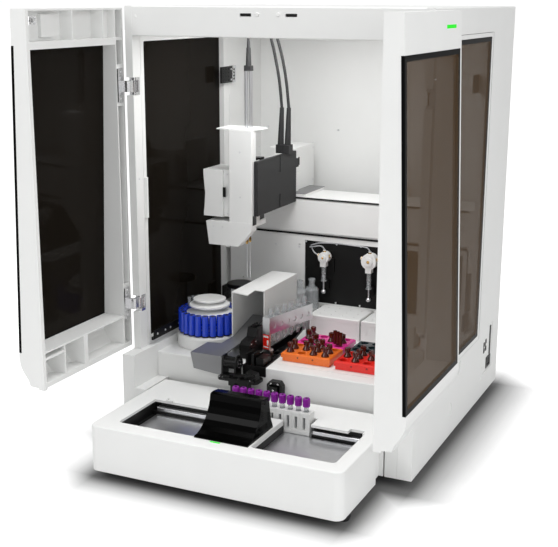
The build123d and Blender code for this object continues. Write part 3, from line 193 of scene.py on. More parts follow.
BORDER_BLACK, BORDER_WIDTH = (0.004, 0.004, 0.004), 0.011
SMOKE, SMOKE_ALPHA = (0.062, 0.028, 0.002), 0.70
# A near-black, near-opaque copy of the smoked glass for the left panes: painted shade, darker than the smoked
# glass's own tint.
SHADED_SMOKE, SHADED_SMOKE_ALPHA = (0.010, 0.008, 0.006), 0.992
PANE_SPEC = 0.03
FINISHES = {                                  # colour, roughness and what differs from the usual finish
    "white_paint": ((0.84, 0.845, 0.835), 0.42, dict(grain=1100, bump=0.06, mottle=0.012)),
    "white_plastic": ((0.86, 0.865, 0.855), 0.46, dict(grain=1700, bump=0.09, mottle=0.012)),
    "black_paint": ((0.007, 0.007, 0.007), 0.42, dict(grain=1100, bump=0.07, spec=0.2)),
    "black_plastic": ((0.007, 0.007, 0.007), 0.34, dict(grain=1500, bump=0.1, spec=0.28)),
    "gloss_black": ((0.001, 0.001, 0.001), 0.14, dict(grain=500, bump=0.01, spec=0.07, rough_var=0.03)),
    "rubber_black": ((0.02, 0.02, 0.021), 0.62, dict(grain=1900, bump=0.16)),
    "steel": ((0.78, 0.785, 0.80), 0.3, dict(metal=1.0, grain=420, bump=0.05, stretch=(1, 18, 18))),
    "chrome": ((0.8, 0.8, 0.81), 0.2, dict(metal=1.0, grain=700, bump=0.03)),
    "grey_metal": ((0.27, 0.272, 0.28), 0.36, dict(metal=0.6, grain=900, bump=0.08)),
    "blue_plastic": ((0.015, 0.06, 0.62), 0.22, dict(grain=900, bump=0.03, coat=0.4)),
    "orange_plastic": ((0.93, 0.19, 0.02), 0.27, dict(grain=900, bump=0.03, coat=0.3)),
    "magenta_plastic": ((0.83, 0.03, 0.33), 0.27, dict(grain=900, bump=0.03, coat=0.3)),
    "red_plastic": ((0.86, 0.02, 0.012), 0.27, dict(grain=900, bump=0.03, coat=0.3)),
    "teal_plastic": ((0.012, 0.03, 0.036), 0.25, dict(grain=900, bump=0.03, coat=0.3)),
    "purple_plastic": ((0.27, 0.006, 0.34), 0.28, dict(grain=900, bump=0.04, coat=0.2)),
    "amber_glass": ((0.085, 0.009, 0.003), 0.12, dict(grain=60, bump=0.0, mottle=0.4, coat=0.6)),
    "charcoal": ((0.030, 0.030, 0.031), 0.5, dict(grain=1500, bump=0.12, spec=0.2)),
    "grey_tube": ((0.42, 0.43, 0.45), 0.3, dict(grain=500, bump=0.03, coat=0.2)),
    "brass": ((0.78, 0.52, 0.2), 0.24, dict(metal=1.0, grain=700, bump=0.03)),
}
MATS = {name: surface(name, color, rough, **extras) for name, (color, rough, extras) in FINISHES.items()}
MATS["clear_glass"] = see_through("clear_glass", (0.62, 0.65, 0.67), 0.27, rough=0.06, spec=0.6)
for place, is_front in (("front", True), ("side", False)):
    for tint, color, alpha in (("smoked", SMOKE, SMOKE_ALPHA), ("dark", SHADED_SMOKE, SHADED_SMOKE_ALPHA)):
        name = tint + "_" + place
        MATS[name] = see_through(name, color, alpha, spec=PANE_SPEC, border=pane_border(is_front))


def lamp_green():
    """Lit green indicator."""
    mat = bpy.data.materials.new("green_lamp")
    mat.use_nodes = True
    shader = mat.node_tree.nodes["Principled BSDF"]
    shader.inputs["Base Color"].default_value = (0.0, 0.2, 0.0, 1)
    shader.inputs["Emission Color"].default_value = (0.0, 0.8, 0.002, 1)
    shader.inputs["Emission Strength"].default_value = 0.9
    return mat


MATS["green_lamp"] = lamp_green()
# The left door and left side panes take the dark copy of the smoked glass: painted shade.
PANES = {"right_door_pane": "smoked_front", "right_side_pane": "smoked_side",
         "left_door_pane": "dark_front", "left_side_pane": "dark_side"}
SLOT_OF = {s["node"]: s["material_slot"] for s in frame["record"]["subparts"]}

for name, obj in frame["nodes"].items():
    finish = MATS[PANES.get(name, SLOT_OF[name])]
    obj.data.materials.clear()
    obj.data.materials.append(finish)


# ------------------------------------------------------------------ camera and light

def forward():
    """The way the camera looks."""
    yaw, pitch = math.radians(CAM_YAW), math.radians(CAM_PITCH)
    return Vector((-math.sin(yaw) * math.cos(pitch), math.cos(yaw) * math.cos(pitch), -math.sin(pitch)))


def make_camera():
    data = bpy.data.cameras.new("view")
    data.lens = CAM_LENS
    data.sensor_width = CAM_SENSOR
    data.clip_end = 100
    cam = bpy.data.objects.new("view", data)
    bpy.context.scene.collection.objects.link(cam)
    cam.location = at(*CAM_PLACE)
    turn = forward().to_track_quat("-Z", "Y").to_matrix().to_4x4()
    roll = Matrix.Rotation(math.radians(CAM_ROLL), 4, "Z")
    cam.matrix_world = Matrix.Translation(cam.location) @ turn @ roll
    bpy.context.scene.camera = cam


def area_light(name, place, target, size, power):
    data = bpy.data.lights.new(name, "AREA")
    data.size = size
    data.energy = power
    lamp_obj = bpy.data.objects.new(name, data)
    bpy.context.scene.collection.objects.link(lamp_obj)
    lamp_obj.location = place
    lamp_obj.rotation_euler = (Vector(target) - Vector(place)).to_track_quat("-Z", "Y").to_euler()


def make_world():
    """White surroundings, with a strength of its own for each kind of ray."""
    world = bpy.data.worlds.new("studio")
    bpy.context.scene.world = world
    world.use_nodes = True
    tree = world.node_tree
    back = tree.nodes["Background"]
    back.inputs["Color"].default_value = (1, 1, 1, 1)
    path = tree.nodes.new("ShaderNodeLightPath")
    strength = None
    for ray, amount in WORLD_STRENGTH:
        share = math_node(tree, "MULTIPLY", path.outputs[ray], amount)
        strength = share if strength is None else math_node(tree, "MAXIMUM", strength, share)
    tree.links.new(strength, back.inputs["Strength"])


def distance_from(tree, place, x_reach, y_middle, y_reach):
    """How far a floor point lies outside a footprint, summed along X and Y, in metres."""
    beyond = []
    for axis, middle, reach in (("X", 0.0, x_reach), ("Y", y_middle, y_reach)):
        away = math_node(tree, "ABSOLUTE", math_node(tree, "SUBTRACT", place.outputs[axis], middle))
        beyond.append(math_node(tree, "SUBTRACT", away, reach, clamp=True))
    return math_node(tree, "ADD", beyond[0], beyond[1])


def make_floor():
    """White floor with painted shadow: darker in colour under and near the cabinet and its tray, and glowing
    further off, which leaves a painted shadow pool around them.
    """
    mesh = bpy.data.meshes.new("floor")
    mesh.from_pydata([(-30, -30, 0), (30, -30, 0), (30, 30, 0), (-30, 30, 0)], [], [(0, 1, 2, 3)])
    floor = bpy.data.objects.new("floor", mesh)
    bpy.context.scene.collection.objects.link(floor)
    mat = bpy.data.materials.new("floor")
    mat.use_nodes = True
    tree = mat.node_tree
    shader = tree.nodes["Principled BSDF"]
    shader.inputs["Roughness"].default_value = 0.9
    shader.inputs["Specular IOR Level"].default_value = 0.1
    spot = tree.nodes.new("ShaderNodeTexCoord")
    parts = tree.nodes.new("ShaderNodeSeparateXYZ")
    tree.links.new(spot.outputs["Object"], parts.inputs[0])
    middle, depth = FOOTPRINT_Y
    cabinet = distance_from(tree, parts, HALF / 1000, at(0, middle, 0).y, depth / 1000)
    width, middle, depth = TRAY_FOOTPRINT
    tray = distance_from(tree, parts, width / 1000, at(0, middle, 0).y, depth / 1000)
    near = math_node(tree, "MINIMUM", cabinet, tray)
    # Painted contact shadow: the floor's colour falls from 0.74 to 0.1 towards and under the cabinet's and
    # the tray's footprints.
    painted_contact_shadow = map_range(tree, near, -0.02, 0.06, 0.1, 0.74)
    painted_contact_shadow.interpolation_type = "SMOOTHSTEP"
    tree.links.new(painted_contact_shadow.outputs["Result"], shader.inputs["Base Color"])
    # Glow for camera rays rising past 0.05 m from the footprints: a white backdrop further off, and a painted
    # shadow pool nearer the cabinet, where the glow is left out.
    glow_beyond_shadow_pool = map_range(tree, near, 0.05, 0.16, 0.0, 0.75)
    glow = tree.nodes.new("ShaderNodeEmission")
    path = tree.nodes.new("ShaderNodeLightPath")
    level = math_node(tree, "MULTIPLY", path.outputs["Is Camera Ray"], glow_beyond_shadow_pool.outputs["Result"])
    tree.links.new(level, glow.inputs["Strength"])
    total = tree.nodes.new("ShaderNodeAddShader")
    tree.links.new(shader.outputs[0], total.inputs[0])
    tree.links.new(glow.outputs[0], total.inputs[1])
    tree.links.new(total.outputs[0], tree.nodes["Material Output"].inputs["Surface"])
    mesh.materials.append(mat)


make_camera()
make_world()
make_floor()
area_light("key", (-1.7, -2.7, 2.8), (0, 0, 0.5), 1.6, 31)
area_light("front", (0.7, -3.6, 1.5), (0, 0, 0.6), 2.6, 15)
area_light("fill", (3.0, -1.2, 1.7), (0, 0, 0.5), 2.2, 33)
area_light("top", (-0.2, 0.1, 3.1), (0, 0, 0), 1.6, 34)
area_light("inside", at(0, 250, 1020), at(0, 300, 150), 0.36, 3.3)
bpy.context.scene.view_settings.view_transform = "Standard"

# ------------------------------------------------------------------ mesh tools

AXES = {"X": Matrix.Rotation(math.radians(90), 4, "Y"), "Y": Matrix.Rotation(math.radians(-90), 4, "X"),
        "Z": Matrix.Identity(4)}


class Piece:
    """One visible piece in the making. Shapes are added in millimetres in the cabinet's frame."""

    def __init__(self, name, finish, body, slot=None):
        self.name, self.finish, self.body, self.slot = name, finish, body, slot or finish
        self.bm = bmesh.new()

    def join(self, part):
        mesh = bpy.data.meshes.new("part")
        part.to_mesh(mesh)
        part.free()
        self.bm.from_mesh(mesh)
        bpy.data.meshes.remove(mesh)

    def block(self, x0, x1, y0, y1, z0, z1, bevel=0.6):
        part = bmesh.new()
        bmesh.ops.create_cube(part, size=1.0)
        middle = at((x0 + x1) / 2, (y0 + y1) / 2, (z0 + z1) / 2)
        for v in part.verts:
            v.co = Vector((v.co.x * (x1 - x0), v.co.y * (y1 - y0), v.co.z * (z1 - z0))) / 1000 + middle
        reach = min(bevel, 0.45 * min(x1 - x0, y1 - y0, z1 - z0)) / 1000
        bmesh.ops.bevel(part, geom=part.edges[:], offset=reach, segments=2, affect="EDGES", profile=0.7)
        self.join(part)

    def lathe(self, x, y, z, profile, axis="Z", steps=28):
        """Turned form about an axis through the place, from (radius, distance along the axis) pairs."""
        part = bmesh.new()
        rings = []
        for r, h in profile:
            if r <= 0.001:
                rings.append([part.verts.new((0, 0, h / 1000))])
                continue
            ring = []
            for i in range(steps):
                a = 2 * math.pi * i / steps
                ring.append(part.verts.new((r / 1000 * math.cos(a), r / 1000 * math.sin(a), h / 1000)))
            rings.append(ring)
        for low, high in zip(rings, rings[1:]):
            for i in range(steps):
                j = (i + 1) % steps
                corners = [low[i % len(low)], low[j % len(low)], high[j % len(high)], high[i % len(high)]]
                unique = list(dict.fromkeys(corners))
                if len(unique) > 2:
                    part.faces.new(unique)
        if profile[0] == profile[-1]:
            bmesh.ops.remove_doubles(part, verts=part.verts[:], dist=1e-7)
        bmesh.ops.recalc_face_normals(part, faces=part.faces[:])
        bmesh.ops.transform(part, matrix=Matrix.Translation(at(x, y, z)) @ AXES[axis], verts=part.verts[:])
        self.join(part)

    def disc(self, x, y, z, r, length, axis="Z", edge=0.4, steps=28):
        edge = min(edge, r * 0.4, length * 0.4)
        profile = [(0, 0), (r - edge, 0), (r, edge), (r, length - edge), (r - edge, length), (0, length)]
        self.lathe(x, y, z, profile, axis, steps)

    def ring(self, x, y, z, r_out, r_in, length, axis="Z", steps=32):
        self.lathe(x, y, z, [(r_in, 0), (r_out, 0), (r_out, length), (r_in, length), (r_in, 0)], axis, steps)

    def prism(self, outline, axis, a, b, bevel=0.4):
        """Outline in the two other axes, in order, run along the axis from a to b."""
        part = bmesh.new()
        ends = []
        for level in (a, b):
            ring = []
            for u, v in outline:
                place = {"X": (level, u, v), "Y": (u, level, v), "Z": (u, v, level)}[axis]
                ring.append(part.verts.new(at(*place)))
            ends.append(ring)
        count = len(outline)
        part.faces.new(ends[0])
        part.faces.new(ends[1])
        for i in range(count):
            j = (i + 1) % count
            part.faces.new((ends[0][i], ends[0][j], ends[1][j], ends[1][i]))
        bmesh.ops.recalc_face_normals(part, faces=part.faces[:])
        if bevel:
            bmesh.ops.bevel(part, geom=part.edges[:], offset=bevel / 1000, segments=1, affect="EDGES")
        self.join(part)

    def screw(self, x, y, z, r, axis="Y", side=-1, height=1.2):
        """Domed head with a round socket, standing off its seat along the axis."""
        h = height * side
        dome = [(r, 0), (r, h * 0.55), (r * 0.8, h)]
        socket = [(r * 0.5, h), (r * 0.42, h * 0.45), (0, h * 0.45)]
        self.lathe(x, y, z, dome + socket, axis, 18)

    def wire(self, points, r, sides=10):
        """Round wire through points, smoothed by a NURBS line."""
        curve = bpy.data.curves.new("wire", "CURVE")
        curve.dimensions = "3D"
        line = curve.splines.new("NURBS")
        line.points.add(len(points) - 1)
        for spot, place in zip(line.points, points):
            spot.co = (*at(*place), 1)
        line.order_u = 3
        line.use_endpoint_u = True
        curve.bevel_depth = r / 1000
        curve.bevel_resolution = max(1, sides // 4)
        curve.use_fill_caps = True
        curve.resolution_u = 8
        holder = bpy.data.objects.new("wire", curve)
        mesh = bpy.data.meshes.new_from_object(holder)
        self.bm.from_mesh(mesh)
        bpy.data.meshes.remove(mesh)
        bpy.data.objects.remove(holder)
        bpy.data.curves.remove(curve)

    def done(self, smooth=38):
        mesh = bpy.data.meshes.new(self.name)
        self.bm.to_mesh(mesh)
        self.bm.free()
        mesh.materials.append(MATS[self.finish])
        for face in mesh.polygons:
            face.use_smooth = True
        mesh.set_sharp_from_angle(angle=math.radians(smooth))
        obj = bpy.data.objects.new(self.name, mesh)
        bpy.context.scene.collection.objects.link(obj)
        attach(obj, self.body)
        return obj


# ------------------------------------------------------------------ doors and cabinet

def door_lamp():
    """Green lamp strip in a white frame on the open right door's outer face."""
    lamp_bar = Piece("door_lamp", "green_lamp", "right_door", "clear_glass")
    lamp_bar.block(425.6, 427.2, -38, 28, 1004.5, 1014.5, 1.2)
    lamp_bar.done()
    frame_bar = Piece("door_lamp_frame", "white_plastic", "right_door")
    frame_bar.block(425.2, 426.6, -41, 31, 1002, 1017, 1.4)
    frame_bar.done()


def tray_lamp():
    """Green lamp near the loading bay's front edge."""
    lamp_bar = Piece("tray_lamp", "green_lamp", "cabinet", "clear_glass")
    lamp_bar.block(-14, 10, -218.5, -213.5, 129.6, 130.7, 0.5)
    lamp_bar.done()


def header_fittings():
    """Dark latch slots and white bumpers on the header's front."""
    dark = Piece("header_latches", "black_plastic", "cabinet")
    pads = Piece("header_bumpers", "white_plastic", "cabinet")
    for x in (-60, 51):
        dark.block(x - 12.5, x + 12.5, 54.4, 60, 1024.6, 1031.4, 1.4)
    for x in (-31, 19):
        pads.lathe(x, 55, 1029, [(0, -3), (3.4, -3), (4.6, -1.6), (5, 0), (0, 0)], "Y", 24)
    for x in (-346, 263, 346):
        pads.lathe(x, 55, 1022, [(0, -1), (3, -1), (3.6, 0), (0, 0)], "Y", 20)
    for made in (dark, pads):
        made.done()


def side_plugs():
    """Push-in covers in the base wall's two round recesses, on both sides."""
    for side, name in ((1, "right"), (-1, "left")):
        plug = Piece("side_plugs_" + name, "white_plastic", "cabinet")
        profile = [(0, side * 0.9), (12.5, side * 0.9), (15.6, side * 0.5), (16.4, 0), (0, 0)]
        for y in (291, 587):
            plug.lathe(side * (HALF - 1.5), y, 90, profile, "X", 40)
        plug.done()


def hinge_screws():
    """Screws on the front door hinges, and the side door hinges' leaves, wings and screws."""
    for side, name in ((1, "right"), (-1, "left")):
        heads = Piece("hinge_screws_" + name, "chrome", name + "_door")
        for z in FRONT_HINGE_Z:
            for dz in (-28, 34):
                heads.screw(side * 384.2, 45.0, z + dz, 3.4, "X", -side, 1.6)
        heads.done()
        leaf = Piece("side_hinge_leaf_" + name, "steel", "cabinet")
        studs = Piece("side_hinge_studs_" + name, "black_plastic", "cabinet")
        for z in SIDE_HINGE_Z:
            a, b = sorted((side * 343.2, side * 344.4))
            leaf.block(a, b, 553, 560, z - 20, z + 20, 0.5)
            for dz in (-13, -4.5, 4.5, 13):
                studs.screw(side * 344, 548, z + dz, 2.5, "X", -side, 1.6)
        leaf.done()
        studs.done()
        wing = Piece("side_hinge_wing_" + name, "black_plastic", name + "_side_door_leaf")
        bolts = Piece("side_hinge_bolts_" + name, "steel", name + "_side_door_leaf")
        for z in SIDE_HINGE_Z:
            a, b = sorted((side * 350.5, side * 344.5))
            wing.block(a, b, 478, 539, z - 22, z + 22, 2.0)
            for y in (488, 503, 518):
                for dz in (-15, -5, 5, 15):
                    wing.screw(side * 344.6, y, z + dz, 3.2, "X", -side, 1.4)
            for dz in (-14, 14):
                bolts.screw(side * 344.4, 532, z + dz, 2.6, "X", -side, 1.4)
        wing.done()
        bolts.done()


def panel_face():
    """White face sheet around the connector panel's socket bar, ports and switch."""
    sheet = Piece("panel_face", "white_plastic", "cabinet")
    y_low, y_high, z_low, z_high = PANEL_FACE
    levels = sorted({z for window in PANEL_WINDOWS for z in window[2:]} | {z_low, z_high})
    for low, high in zip(levels, levels[1:]):
        y = y_low
        for y0, y1, z0, z1 in sorted(PANEL_WINDOWS):
            if z0 < high and z1 > low:
                sheet.block(HALF - 1.15, HALF - 0.55, y, y0, low, high, 0.03)
                y = y1
        sheet.block(HALF - 1.15, HALF - 0.55, y, y_high, low, high, 0.03)
    sheet.done()


def window_bar():
    """Black inner bar with screws along the bottom of the left side window."""
    bar = Piece("window_bar", "black_paint", "cabinet")
    bar.block(-346.5, -341.5, 100, 232, 229, 249, 1.2)
    bar.block(-350, -345, 96, 236, 225, 233, 1.0)
    bar.done()
    heads = Piece("window_bar_screws", "steel", "cabinet")
    for y in (112, 150, 176, 218):
        heads.screw(-341.4, y, 239, 3.0, "X", 1, 1.5)
    heads.done()


def latch_parts():
    """Chrome roller and screws on each front door's catch, where it stands open."""
    for side, name in ((1, "right"), (-1, "left")):
        roller = Piece("latch_roller_" + name, "chrome", name + "_door")
        y = 22 - DOOR_OUT
        face = side * (DOOR_PLANE - 1.2)
        profile = [(0, 0), (4.6, 0), (5.2, side * 0.5), (5.2, side * 3), (0, side * 3)]
        roller.lathe(face, y, 1017, profile, "X", 28)
        for dy in (10, 15.5):
            roller.screw(side * (DOOR_PLANE + 1.9), y + dy, 1012, 1.8, "X", -side, 1.0)
            roller.screw(side * (DOOR_PLANE + 1.9), y + dy, 1022, 1.8, "X", -side, 1.0)
        roller.done()


def frame_screws():
    """Small pan heads that hold the panels to the frame."""
    heads = Piece("panel_screws", "steel", "cabinet")
    for x in (-300, -200, -128, 338):
        heads.screw(x, 515, 405 if x < 0 else 300, 3.2, "Y", -1, 1.3)
    for x in (-330, -110, 110, 330):
        for z in (700, 1000):
            heads.screw(x, 740, z, 3.0, "Y", -1, 1.2)
    for x in (-300, -60, 180, 300):
        heads.screw(x, 755, 1028, 3.0, "Y", 1, 1.2)
        heads.screw(x, 755, 42, 3.0, "Y", 1, 1.2)
    for side in (-1, 1):
        for y in (70, 730):
            heads.screw(side * 356, y, 640, 2.6, "X", -side, 1.0)
    heads.done()


# ------------------------------------------------------------------ loading bay

def bay_details():
    """Clips and troughs in the loading bay, and the screws of the bracket behind it."""
    clips = Piece("bay_clips", "white_plastic", "cabinet")
    clips.block(-224, -208, -49, -41, 129.6, 134, 1.0)
    clips.block(-221, -216, -47, -43, 133, 139, 1.0)
    clips.block(73.8, 78.4, -205, -36, 118, 130.4, 0.8)
    clips.done()
    troughs = Piece("bay_troughs", "black_plastic", "cabinet")
    for x0, x1, y0, y1 in ((-254, -62, -60, -52), (150, 272, -30, -22)):
        troughs.block(x0, x1, y0, y1, 100.2, 107, 1.4)
    troughs.done()
    screws = Piece("deck_bracket_screws", "chrome", "cabinet")
    for x, z in ((-14, 163), (4, 163), (-5, 149)):
        screws.screw(x, 92 if z > 155 else 84, z, 2.4, "Y", -1, 1.3)
    screws.done()


def cap_bores():
    """Dark recess in the middle of each tube cap, and the ribs around it."""
    bores = Piece("cap_bores", "black_plastic", "tube_rack")
    profile = [(0, -1.6), (2.6, -1.6), (3.2, 0.25), (2.2, 0.3), (1.9, -1.2), (0, -1.2)]
    for i in range(TUBE_COUNT):
        bores.lathe(TUBE_X - TUBE_PITCH * i, TUBE_Y, 184, profile, "Z", 20)
    bores.done()
    ribs = Piece("cap_ribs", "purple_plastic", "tube_rack")
    for i in range(TUBE_COUNT):
        for k in range(RIB_COUNT):
            a = 2 * math.pi * k / RIB_COUNT
            x = TUBE_X - TUBE_PITCH * i + RIB_RADIUS * math.cos(a)
            y = TUBE_Y + RIB_RADIUS * math.sin(a)
            ribs.block(x - 0.4, x + 0.4, y - 0.4, y + 0.4, 165, 181.5, 0.2)
    ribs.done()


# ------------------------------------------------------------------ deck

def on_carousel(index, extra, radius):
    """X and Y of a place on the carousel, extra degrees on from its step."""
    a = math.radians(CAROUSEL_STEP * index + extra)
    return CAROUSEL_X + radius * math.cos(a), CAROUSEL_Y + radius * math.sin(a)


def carousel_details():
    """Inserts and rims of the carousel's holders, and the clear tubes on its inner ring."""
    holder = [(0, 0), (5.7, 0), (5.7, 3.6), (4.4, 4.8), (2.4, 4.8), (1.8, 2), (0, 2)]
    collar = [(9.2, 0), (9.3, 0.2), (9.3, 2.4), (8.6, 3), (8.6, 0)]
    tube = [(0, 0), (4.4, 0), (4.4, 20), (5.2, 21), (5.2, 24), (3.6, 24), (3.6, 2), (0, 2)]
    inserts = Piece("carousel_inserts", "black_plastic", "carousel")
    rims = Piece("carousel_rims", "blue_plastic", "carousel")
    clear = Piece("carousel_tubes", "clear_glass", "carousel")
    for i in range(24):
        x, y = on_carousel(i, 4, 72.5)
        inserts.lathe(x, y, 279, holder, "Z", 20)
        rims.ring(x, y, 281.5, 9.0, 7.6, 2.2, steps=24)
        rims.ring(x, y, 250, 9.1, 8.4, 3, steps=24)
        inserts.lathe(x, y, 229, collar, "Z", 20)
    for i in (7, 8, 9, 10, 11):
        x, y = on_carousel(i, 11, 63)
        clear.lathe(x, y, 282, tube, "Z", 18)
    for made in (inserts, rims, clear):
        made.done()


def sampler_details():
    """Fittings and screws of the gripper, the drum's screws, and the linkage in front of it."""
    black = Piece("gripper", "black_plastic", "cabinet")
    for y in (206, 216):
        black.lathe(-112, y, 262, [(0, 0), (3, 0), (3, 7), (1.6, 8.5), (0, 8.5)], "Z", 18)
    for z in (206, 214, 222):
        black.block(-129.5, -128, 152, 194, z, z + 3, 0.5)
    black.done()
    bright = Piece("gripper_bright", "chrome", "cabinet")
    for y, z in ((160, 230), (186, 230), (202, 252), (222, 252), (202, 206), (222, 206)):
        bright.screw(-101 if y < 196 else -103, y, z, 2.3, "X", 1, 1.2)
    for x in (-140, -132, -58, -50):
        bright.screw(x, 66, 170, 2.2, "Z", 1, 1.3)
    for z in (196, 206):
        bright.screw(-142, 88, z, 1.8, "X", -1, 1.0)
        bright.screw(-142, 102, z, 1.8, "X", -1, 1.0)
    bright.done()
    wheel = Piece("sampler_wheel_screws", "chrome", "sampler_drum")
    for i in range(6):
        a = math.radians(60 * i + 45)
        wheel.screw(-97.6, WHEEL_Y + 10 * math.cos(a), WHEEL_Z + 10 * math.sin(a), 1.5, "X", 1, 0.8)
    wheel.disc(-98, WHEEL_Y, WHEEL_Z, 2.8, 0.9, "X", 0.3)
    wheel.done()
    base = Piece("sampler_linkage", "black_plastic", "cabinet")
    base.block(-104, -72, 71, 84, 172, 178, 1.0)
    base.block(-136, -112, 64, 74, 170, 176, 1.0)
    base.wire([(-68, 72, 172), (-62, 66, 182), (-52, 64, 186), (-44, 68, 178)], 2.2)
    base.disc(-43, 62, 176, 4.5, 8, "Y", 0.8)
    base.done()


def on_strip_rack(x, y, z):
    """A place given in the turned tube strip rack's own millimetres."""
    x0, y0, z0 = STRIP_PLACE
    turn_cos, turn_sin = math.cos(STRIP_TURN), math.sin(STRIP_TURN)
    return x0 + x * turn_cos - y * turn_sin, y0 + x * turn_sin + y * turn_cos, z0 + z


def strip_rack_details():
    """Red plate with white bands on the tube strip rack's front."""
    plate = Piece("strip_plate", "red_plastic", "cabinet")
    band = Piece("strip_plate_bands", "white_plastic", "cabinet")
    for made, x0, x1, z0, z1, y in ((plate, -9.5, 9.5, 6, 44, -3.4), (band, -8, 8, 36, 41, -3.8),
                                    (band, -8, 8, 10, 13, -3.8), (band, 3, 8, 17, 30, -3.8)):
        a, b, back = on_strip_rack(x0, y, z0), on_strip_rack(x1, y, z1), on_strip_rack(x0, y + 0.6, z0)
        far = (b[0] + back[0] - a[0], b[1] + back[1] - a[1])
        made.prism([a[:2], b[:2], far, back[:2]], "Z", a[2], b[2], 0.1)
    plate.done()
    band.done()


def bottle_caps():
    """Rolled lips and collars on the two wash bottles' necks."""
    caps = Piece("bottle_necks", "clear_glass", "cabinet")
    for x, y in BOTTLES:
        caps.ring(x, y, 305, 9.6, 8.7, 2.4, steps=24)
        caps.ring(x, y, 320.5, 9.8, 8.7, 3.4, steps=24)
    caps.done()


def lid_details():
    """Hinge strip beside the insulated boxes and dots on their lids."""
    strip = Piece("box_hinge_strip", "grey_metal", "cabinet")
    strip.block(-58.5, -53, 408, 510, 193.4, 244, 0.8)
    for y in (420, 450, 480, 500):
        strip.disc(-55.5, y, 244, 3.4, 3, "Z", 0.6, 18)
    strip.done()
    holes = Piece("lid_dots", "grey_metal", "cabinet")
    profile = [(0, 0), (2.0, 0), (2.0, 0.3), (0, 0.3)]
    for x0 in LID_X:
        for i in range(3):
            for j in range(4):
                holes.lathe(x0 + 24 + 32 * j, 428 + 30 * i, 249, profile, "Z", 14)
    holes.done()


def rack_details():
    """Dark dots on the racks' fronts and in their empty places, and the brown tubes."""
    empty = [(0, 0), (9.6, 0), (9.6, 0.4), (0, 0.4)]
    brown = [(0, 0), (4.6, 0), (4.6, 30), (5.2, 30.6), (5.2, 34), (3.8, 34), (3.8, 2), (0, 2)]
    for name, (x0, y0) in RACKS.items():
        body = "rack_" + name
        dots = Piece(name + "_rack_dots", "black_plastic", body)
        for i in range(2):
            dots.disc(x0 + 45 + 40 * i, y0 - 0.1, 206, 2.0, 0.5, "Y", 0.1, 14)
        for i in range(4):
            for j in range(3):
                if (i, j) not in VIALS.get(name, ()):
                    dots.lathe(x0 + 18.5 + 31 * i, y0 + 16.5 + 28 * j, 197.2, empty, "Z", 20)
        dots.done()
    tubes = Piece("brown_tubes", "amber_glass", "rack_magenta")
    x0, y0 = RACKS["magenta"]
    for dx, dy in ((96, 30), (106, 24), (116, 18)):
        tubes.lathe(x0 + dx, y0 + dy, 215.2, brown, "Z", 18)
    tubes.done()


# ------------------------------------------------------------------ gantry and pumps

def needle_fittings():
    """Brass nuts above the two needles."""
    gold = Piece("needle_fittings", "brass", "probe", "steel")
    nut = [(1.5, 0), (2.6, 0), (3.7, 3), (3.7, 11), (3.1, 12), (3.1, 21), (1.5, 21)]
    for x, low in ((-186.5, 447), (-177.5, 453)):
        gold.lathe(x, 310, low, nut, "Z", 6)
        gold.lathe(x, 310, low + 21, [(1.5, 0), (2.4, 0.4), (2.4, 6), (1.5, 6.4)], "Z", 20)
    gold.done()


def head_details():
    """Screws and small black parts on the head's front and sides."""
    dots = Piece("head_screws", "steel", "head")
    for z in (577, 691):
        dots.screw(-181, 262, z, 2.3, "Y", -1, 0.7)
    for z in (530, 632):
        dots.screw(-221, 270, z, 1.7, "Y", -1, 0.7)
    for x in (-258, -232, -170):
        dots.screw(x, 261, 497 if x < -200 else 500, 1.6, "Y", -1, 0.6)
    dots.done()
    black = Piece("head_black_parts", "black_plastic", "head")
    black.block(-214.5, -205, 286, 300, 572, 592, 1.0)
    black.block(-234, -226, 268.2, 271, 573, 598, 0.8)
    black.block(-150.5, -149, 268, 290, 505, 530, 1.0)
    black.done()


def beam_details():
    """Dark seals along the cross beam's upper and lower front edges."""
    seals = Piece("beam_seals", "black_paint", "cabinet")
    seals.block(-341, 341, 513.8, 516, 537.5, 541.5, 0.4)
    seals.block(-341, 341, 513.2, 518, 438.4, 443, 0.5)
    seals.done()


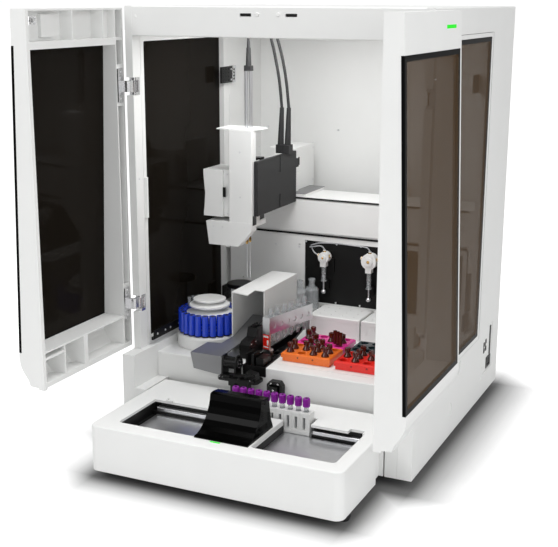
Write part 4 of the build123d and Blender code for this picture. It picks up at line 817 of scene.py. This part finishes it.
def carriage_details():
    """Clip behind the arm cover, screws and the slider's rails."""
    clip = Piece("carriage_clip", "black_plastic", "gantry_carriage")
    clip.block(-160, -150, 556, 561, 622, 644, 1.0)
    clip.wire([(-160, 561, 626), (-154, 565, 633), (-160, 561, 641)], 1.6)
    clip.done()
    dots = Piece("carriage_screws", "steel", "gantry_carriage")
    for y in (566, 676):
        for z in (565, 656):
            dots.screw(-160, y, z, 2.0, "X", 1, 0.9)
    for x, y in ((-132, 560), (-122, 575), (-132, 600), (-122, 620), (-130, 645)):
        dots.screw(x, y, 549.5, 2.0, "Z", 1, 0.8)
    dots.done()
    plate = Piece("slider_plate", "grey_metal", "gantry_carriage")
    plate.block(-158.5, -113.5, 517, 653, 549.6, 551.4, 0.5)
    plate.done()


def valve_details():
    """Brass ports and screws of the pump valves, and the pump board's screws."""
    gold = Piece("valve_fittings", "brass", "cabinet", "steel")
    for x, z, r in VALVES:
        for dx, dz in ((-1, 0.25), (1, 0.25), (0, 1)):
            reach = math.hypot(dx, dz)
            u, w = dx / reach, dz / reach
            place = at(x + u * (r + 1), 498, z + w * (r + 1))
            part = bmesh.new()
            bmesh.ops.create_cone(part, cap_ends=True, segments=6, radius1=0.0048, radius2=0.0048,
                                  depth=0.005)
            aim = Vector((u, 0, w)).to_track_quat("Z", "Y").to_matrix().to_4x4()
            bmesh.ops.transform(part, matrix=Matrix.Translation(place) @ aim, verts=part.verts[:])
            gold.join(part)
        gold.screw(x, 484, z, r * 0.2, "Y", -1, 1.2)
    gold.done()
    steel = Piece("valve_screws", "steel", "cabinet")
    for x, z, r in VALVES:
        for k in range(4):
            a = math.radians(45 + 90 * k)
            steel.screw(x + r * 0.76 * math.cos(a), 488, z + r * 0.76 * math.sin(a), 1.8, "Y", -1, 1.0)
    for x in (-110, -20, 50, 140, 230, 320):
        for z in (256, 420):
            steel.screw(x, 518.3, z, 2.6, "Y", -1, 1.2)
    steel.done()


for make in (door_lamp, tray_lamp, header_fittings, side_plugs, hinge_screws, panel_face, window_bar,
             latch_parts, frame_screws, bay_details, cap_bores, carousel_details, sampler_details,
             strip_rack_details, bottle_caps, lid_details, rack_details, needle_fittings, head_details,
             beam_details, carriage_details, valve_details):
    make()
